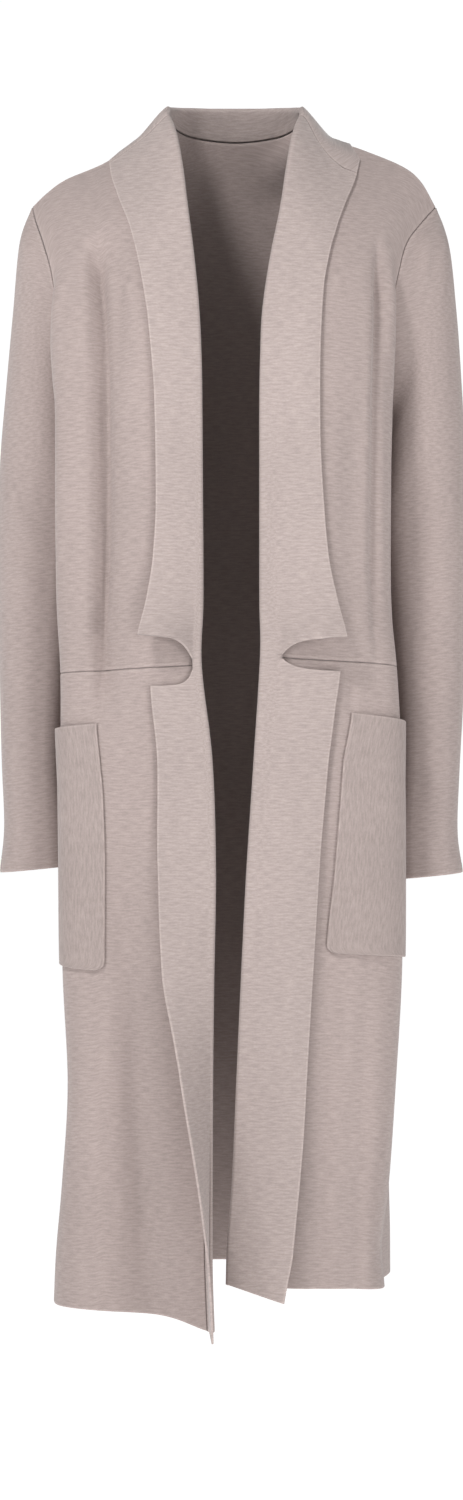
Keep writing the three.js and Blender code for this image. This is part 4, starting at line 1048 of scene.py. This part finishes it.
def half_band(side, base, edge, above):
    """The points of a lapel or a flap, one line for each row in base."""
    front, slit = side["front"], side["slit"]
    sign, parted, within = (1, slit["above"], slit["aboveIn"]) if above else (
        -1, -slit["below"], slit["belowIn"])

    def waist(far):
        """The row of the slit's edge at a distance from the fold."""
        opened = 1 - np.exp(-np.maximum(far - slit["from"], 0) / within)
        return front.row_at(slit["z"] + sign * slit["tall"] / 2 + parted * opened, far)

    t = (base - WAIST_ROW) / (HEM_ROW - WAIST_ROW)
    near = (base / WAIST_ROW if above else 1 - t) ** SLIT_PULL
    slipped = slanted(side, base, READ_AT) if above else 0
    middle = mix(base + slipped, waist(np.full(base.shape, READ_AT)), near)
    z = front.at(middle, READ_AT)[:, 2]
    reach = band_reach(side, edge, middle)
    far, up, over, on_top = band_steps(BAND_SEAM, reach, slit["from"])
    start = base[:, None] + (slanted(side, base[:, None], far) if above else 0)
    base, near, t = base[:, None], near[:, None], t[:, None]

    past_roll = np.clip((far - LEAVE) / (slit["from"] - LEAVE), 0, 1)
    bend = near * past_roll**2 * (3 - 2 * past_roll)
    row = np.where(over, mix(start, waist(far), bend), base)
    # near the slit both halves stay together up to where it starts
    top = np.maximum(reach[:, None] - slit["from"], 1)
    on_top = mix(on_top, np.clip((far - slit["from"]) / top, 0, 1), near)
    lift, stand = (by_height(edge, z, name)[:, None] for name in ("lift", "stand"))
    loose = np.exp(-((z - slit["z"]) / BULGE_REACH) ** 2)[:, None] if above else 0
    bulge = loose * (LAPEL_BULGE * np.sin(math.pi * on_top) + SLIT_LIFT * on_top)
    points = front.at(row, far, up + (lift - 2 * ROLL) * on_top + bulge)
    points[..., 0] -= side["sign"] * STAND_LEAN * stand * on_top
    points[..., 1] -= stand * on_top
    if not above:
        points[..., 2] -= side["drop"] * t**6 * on_top + dip_at(side, base, 0)
    return points


lapel_rows = np.append(upper_rows[collar_row:-1], WAIST_ROW - SLIT_END)
flap_rows = np.concatenate([[WAIST_ROW + SLIT_END], skirt_rows[1:]])
for side, name in ((right, "right"), (left, "left")):
    points = np.concatenate([half_band(side, lapel_rows, side["lapel"], True),
                             half_band(side, flap_rows, side["flap"], False)])
    normals = grid_normals(points, side["sign"])
    cloth(f"front_band_{name}", points, normals, band_knit, ("seam", "rim", "seam", "rim"),
          len(lapel_rows), slit=(len(lapel_rows) - 1, SLIT_COLUMN),
          by_height_map=True)

# %% [markdown]
# ## The back collar
# The two lapels are joined round the neck by a collar. It rises a little out of the
# neckline, turns over and lies on the shoulders and the upper back. The table gives the fold,
# and the middle and the free edge as x and as rows of the back, from the shoulder to the
# middle of the neck.

# %% Shape of the collar
COLLAR = table(
    ["foldX", "foldY", "foldZ", "midX", "midRow", "freeX", "freeRow"],
    [
        [60, 3, 29, 86, 0.02, 109, 0.02],
        [50, 32, 34, 70, 0.36, 88, 0.6],
        [28, 51, 37, 42, 0.6, 52, 0.98],
        [0, 57, 38, 0, 0.66, 0, 1.1],
    ],
)
COLLAR_EASE = 1.2  # mm that the stand lies inside the neckline
SHOULDER_LIFT = 2.6  # mm that the free edge stands off the shoulder
COLLAR_LIFT = 6.2  # mm that it stands off the back
COLLAR_HUMP = 3  # and how much more between fold and edge
COLLAR_STEP = 18  # mm from the fold to where it lies on the cloth below
print("the collar's fold rises to", COLLAR["foldZ"].max(), "mm")

# %% [markdown]
# The collar's surface runs from one lapel round the neck to the other. Its sections at the
# ends are those of the lapels, so the seam between lapel and collar closes, and the ones
# between come from the table. Then it is laid in the same columns as a band.

# %% Make the collar
def on_back(x, row):
    """The point of the back at a row and at x."""
    line = along(back_keys, row)[0]
    return np.array([np.interp(x, line[:, 0], line[:, axis]) for axis in range(3)])


def collar_section(side, k):
    """The section of the collar at one point of the back neckline."""
    place = (len(COLLAR["foldX"]) - 1) * k / (NECK_CELLS // 2)
    entry = {name: along(values, place, 2 * values[0] - values[1], 2 * values[-1] - values[-2])[0]
             for name, values in COLLAR.items()}
    spots = [[mix(entry[f"mid{name}"], entry[f"free{name}"], part) for name in ("X", "Row")]
             for part in (0, 0.5, 1)]
    neck = back_points[0, SIDE_CELLS + (k if side is right else NECK_CELLS - k)]
    fold = np.array([NECK_CENTRE + side["sign"] * entry["foldX"], entry["foldY"], entry["foldZ"]])
    return [fold, neck] + [on_back(NECK_CENTRE + side["sign"] * x, max(row, 0)) for x, row in spots]


def lapel_section(side, row):
    """The section of the lapel's upper end, to which the collar is sewn."""
    part = row / COLLAR_START
    reach = float(band_reach(side, side["lapel"], np.array([row + part * side["slant"]]))[0])
    fars = np.concatenate([[0], mix(BAND_SEAM, reach, np.array([0, 0.35, 0.7, 1]))])
    return list(side["front"].at(row + part * slanted(side, COLLAR_START, fars), fars))


starts = [COLLAR_START, COLLAR_START / 2]
half_neck = NECK_CELLS // 2
sections = [lapel_section(right, row) for row in starts]
sections += [collar_section(right, k) for k in range(half_neck + 1)]
sections += [collar_section(left, k) for k in range(half_neck - 1, -1, -1)]
sections += [lapel_section(left, row) for row in reversed(starts)]
collar_surface = Surface([(np.array(section), None) for section in sections], -1)
collar_rows = np.arange(len(sections), dtype=float)
reach = collar_surface.reach(collar_rows, 1.0)
seam = np.array([np.linalg.norm(section[0] - section[1]) for section in sections]) - COLLAR_EASE
far, up, over, on_top = band_steps(seam, reach, np.minimum(COLLAR_STEP, reach * 0.4)[:, None])
from_end = np.minimum(collar_rows, collar_rows[::-1])
behind = np.clip((from_end - len(starts)) / half_neck, 0, 1)[:, None]
lift = mix(SHOULDER_LIFT, COLLAR_LIFT, behind)
high = up + (lift - 2 * ROLL) * on_top + COLLAR_HUMP * behind * np.sin(math.pi * on_top)
collar_points = collar_surface.at(collar_rows[:, None], far, high)
cloth("back_collar", collar_points, grid_normals(collar_points, 1), band_knit,
      ("seam", "seam", "seam", "rim"), 0, turned_map=True)

# %% [markdown]
# ## The sleeves
# A sleeve is a tube that is set into the armhole. Its first ring follows the armhole point by
# point. The next rings hang down beside the body, a little bent at the elbow, and the last one
# is the open cuff. Where a sleeve hangs against the front, it lies flat there and turns in
# sharply. A few shallow creases run down from the shoulder and across at the elbow.

# %% Shape of the sleeves
SLEEVE_COLUMNS = ["outerX", "outerZ", "innerX", "innerZ", "middleY", "halfDepth"]
RIGHT_SLEEVE = table(SLEEVE_COLUMNS, [
    [201, -96, 148, -280, 4, 57],
    [208, -165, 147, -308, 8, 59],
    [214.5, -235, 146, -338, 10, 60],
    [220, -300, 146, -368, 11, 57],
    [223, -370, 151, -412, 10, 54],
    [222, -440, 156.5, -467, 6, 51],
    [220, -520, 161, -532, 0, 49],
    [218, -590, 163.5, -596, -6, 47],
    [215.5, -652, 159, -652, -11, 45],
    [219.5, -695, 157.5, -689, -14, 43.5],
])
LEFT_SLEEVE = table(SLEEVE_COLUMNS, [
    [203, -96, 145, -280, 4, 57],
    [211.5, -165, 144, -308, 8, 59],
    [216.5, -235, 143, -338, 10, 60],
    [220, -300, 143.5, -368, 11, 57],
    [221, -370, 147, -412, 10, 54],
    [220, -440, 151.5, -467, 6, 51],
    [218, -520, 156, -532, 0, 49],
    [213.5, -600, 157, -604, -6, 47],
    [211.5, -657, 152.5, -659, -11, 45],
    [216.5, -695, 155, -701, -14, 43.5],
])
SLEEVE_GAP = 0.2  # mm between the sleeve and the armhole
UNDERARM_EASE = 1.5  # mm that the sleeve hangs further out under the arm
SLEEVE_FLATNESS = 0.76  # 1 gives an oval section, less gives flatter front and back
INNER_FLATNESS = 0.4  # the same for the front next to the body
SLEEVE_RINGS = 130
HANGING_FROM = 3  # the ring from which on it is fully flat there
right["sleeve_creases"] = [
    crease([[-120, 186], [-190, 180]], 1.5, 6, 9, 30),
    crease([[-330, 212], [-372, 196], [-392, 178]], 2, 9, 9, 24),
    crease([[-392, 208], [-440, 186]], 1.5, 9, 9, 22),
]
left["sleeve_creases"] = [
    crease([[-88, 185], [-112, 183], [-150, 177]], 2.5, 4, 7, 24),
    crease([[-345, 210], [-386, 192], [-402, 176]], 2, 9, 9, 24),
    crease([[-420, 206], [-462, 184]], 1.5, 9, 9, 22),
]
print("rings in the tables:", len(RIGHT_SLEEVE["outerX"]), "and", len(LEFT_SLEEVE["outerX"]))

# %% [markdown]
# The points of the armhole don't lie at equal distances. So each point of a ring gets its
# angle from how far round the armhole it lies, with half a turn for the front and half for the
# back. That keeps the cloth from twisting.

# %% Make the sleeves
def sleeve_grid(side, sleeve):
    """The points of a sleeve, one ring for each row, from the armhole down."""
    column = 0 if side is right else -1
    spots = np.concatenate([
        side["upper"][:armhole_end + 1, -1], back_points[armhole_end - 1:0:-1, column]])
    reach = lengths(np.concatenate([spots, spots[:1]]))
    front_part = reach[:-1] / reach[armhole_end]
    back_part = (reach[:-1] - reach[armhole_end]) / (reach[-1] - reach[armhole_end])
    turn = math.pi * np.where(np.arange(len(spots)) <= armhole_end, front_part, 1 + back_part)
    outwards = (1 + np.cos(turn)) / 2
    ring = {name: values[:, None] for name, values in sleeve.items()}
    hanging = np.clip(np.arange(len(sleeve["middleY"])) / HANGING_FROM, 0, 1)[:, None]
    forwards = np.sin(turn)
    inner_front = np.clip(-2 * np.cos(turn), 0, 1) * (forwards > 0)
    flatness = mix(SLEEVE_FLATNESS, INNER_FLATNESS, inner_front * hanging)
    rings = np.stack([
        side["sign"] * mix(ring["innerX"], ring["outerX"], outwards),
        ring["middleY"] - ring["halfDepth"] * np.sign(forwards) * np.abs(forwards) ** flatness,
        mix(ring["innerZ"], ring["outerZ"], outwards)], -1)
    away = rings[0] - spots
    away /= np.linalg.norm(away, axis=-1, keepdims=True)
    first = spots + away * SLEEVE_GAP
    first[:, 0] += side["sign"] * UNDERARM_EASE * (1 - outwards) ** 3
    keys = np.concatenate([first[None], rings])
    points = along(keys, np.linspace(0, len(keys) - 1, SLEEVE_RINGS + 1))
    in_front = np.clip((sleeve["middleY"][0] - points[..., 1]) / 20, 0, 1)
    moved = creased(points, side["sleeve_creases"]) * in_front
    return points + grid_normals(points, -side["sign"], closed=True) * moved[..., None]


for side, name, sleeve in ((right, "right", RIGHT_SLEEVE), (left, "left", LEFT_SLEEVE)):
    points = sleeve_grid(side, sleeve)
    normals = grid_normals(points, -side["sign"], closed=True)
    cloth(f"sleeve_{name}", points, normals, body_knit, ("seam", "rim", "none", "none"),
          SLEEVE_RINGS, closed=True)

# %% [markdown]
# ## The patch pockets
# A flat piece of the same knit is turned so that its courses run up and down, and is sewn onto
# each skirt along three sides. Its top stays open and stands off the skirt a little.

# %% Pockets
RIGHT_POCKET = {
    "topFront": -555, "topSide": -563, "bottomFront": -783, "bottomSide": -774, "short": 9,
    "inner": table(["z", "x"], [[-555, 125], [-588, 122], [-622, 119], [-783, 119]])}
LEFT_POCKET = {
    "topFront": -545, "topSide": -556, "bottomFront": -767, "bottomSide": -775, "short": 9,
    "inner": table(["z", "x"], [[-545, 108.5], [-589, 101], [-690, 94], [-767, 86]])}
POCKET_LIFT = 3.0  # mm from the middle of the skirt to the middle of the pocket
POCKET_MOUTH = 2.5  # how much further the open top stands off
POCKET_CORNER = 9  # mm, radius of the rounded lower corner
POCKET_ROWS, POCKET_CELLS = 110, 40


def pocket_grid(side, pocket):
    """The points of a pocket, from its open top down."""
    front = side["front"]
    t = np.linspace(0, 1, POCKET_ROWS + 1)
    front_z = mix(pocket["topFront"], pocket["bottomFront"], t)
    side_z = mix(pocket["topSide"], pocket["bottomSide"], t)
    start = front.row_at(front_z, 110.0)
    _, inner = halve(50, 200, t.shape, 20, lambda far: (
        side["sign"] * front.plain(start, front.share_at(start, far))[..., 0]
        < by_height(pocket["inner"], front_z, "x")))
    drift = np.linspace(0, 1, POCKET_CELLS + 1)
    row = front.row_at(mix(front_z[:, None], side_z[:, None], drift), inner[:, None])
    from_bottom = np.maximum(POCKET_CORNER - (front_z - front_z[-1]), 0)
    rounded = POCKET_CORNER - np.sqrt(POCKET_CORNER**2 - from_bottom**2)
    first = front.share_at(row, (inner + rounded)[:, None])
    last = front.share_at(row, front.reach(row, 1.0) - pocket["short"])
    mouth = POCKET_MOUTH * np.maximum(0, 1 - 4 * t)[:, None] * np.sin(math.pi * drift)
    return front.by_share(row, mix(first, last, drift), POCKET_LIFT + mouth)


for side, name, pocket in ((right, "right", RIGHT_POCKET), (left, "left", LEFT_POCKET)):
    points = pocket_grid(side, pocket)
    cloth(f"pocket_{name}", points, grid_normals(points, -side["sign"]), pocket_knit,
          ("rim", "rim", "rim", "rim"), 0)

# %% [markdown]
# ## Studio
# The coat hangs in front of white. The band of sky round the horizon is white, and a dim sky
# above and below it leaves some shade in the folds.

# %% White behind the coat
world = bpy.data.worlds.new("studio")
scene.world = world
world.use_nodes = True
sky = world.node_tree
sky.nodes.clear()
direction = add_node(sky, "ShaderNodeTexCoord").outputs["Generated"]
upward = add_node(sky, "ShaderNodeSeparateXYZ", {"Vector": direction}).outputs["Z"]
slope = add_node(sky, "ShaderNodeMath", {0: upward}, operation="ABSOLUTE").outputs[0]
level = add_node(sky, "ShaderNodeMapRange", {
    "Value": slope, "From Min": 0.18, "From Max": 0.22,
    "To Min": 1.03, "To Max": 0.06}).outputs["Result"]
background = add_node(sky, "ShaderNodeBackground", {"Color": (1, 1, 1, 1), "Strength": level})
add_node(sky, "ShaderNodeOutputWorld", {"Surface": background.outputs[0]})
print("nodes of the sky:", len(sky.nodes))

# %% [markdown]
# The main light stands high in front, on the coat's right side, and shades the folds and the
# slits. A weak light fills in from the other side. Two more stand low on both sides and keep
# the lower sleeves light, as the white walls of a photo studio do.

# %% Lights
def soft_light(name, place, aim, size, power):
    """A round light of size metres that shines from place towards aim."""
    lamp = bpy.data.lights.new(name, "AREA")
    lamp.shape, lamp.size, lamp.energy = "DISK", size, power
    light = bpy.data.objects.new(name, lamp)
    scene.collection.objects.link(light)
    light.location = place
    away = np.array(place) - np.array(aim)
    across = math.atan2(away[1], away[0])
    tilt = math.acos(away[2] / np.linalg.norm(away))
    light.rotation_euler = (tilt, 0, across + math.radians(90))


LIGHTS = [
    ("key", (-1.1, -1.7, 1.7), (0, 0, -0.15), 0.6, 55),
    ("fill", (1.7, -2.0, 1.0), (0, 0, -0.5), 0.9, 11),
    ("low_right", (-1.6, -1.7, -0.6), (0, 0, -0.6), 0.7, 10),
    ("low_left", (1.6, -1.7, -0.6), (0, 0, -0.6), 0.7, 14),
]
for light in LIGHTS:
    soft_light(*light)
print("lights:", ", ".join(light[0] for light in LIGHTS))

# %% [markdown]
# The floor is matt white paper. It gives off light of its own, so that it looks as white as a
# floor that is lit by studio lamps, and it brightens the hem from below.

# %% Floor
FLOOR = -1.45  # m below the shoulders
floor_material = bpy.data.materials.new("white_paper_sweep")
floor_material.use_nodes = True
paper = floor_material.node_tree.nodes["Principled BSDF"]
paper.inputs["Base Color"].default_value = (0.6, 0.6, 0.6, 1)
paper.inputs["Roughness"].default_value = 0.9
paper.inputs["Emission Color"].default_value = (1, 1, 1, 1)
paper.inputs["Emission Strength"].default_value = 0.95
bpy.ops.mesh.primitive_plane_add(size=60, location=(0, 0, FLOOR))
floor = bpy.context.object
floor.name = "studio_floor"
floor.data.materials.append(floor_material)
scene.view_settings.view_transform = "Standard"
print("floor at", FLOOR, "m")
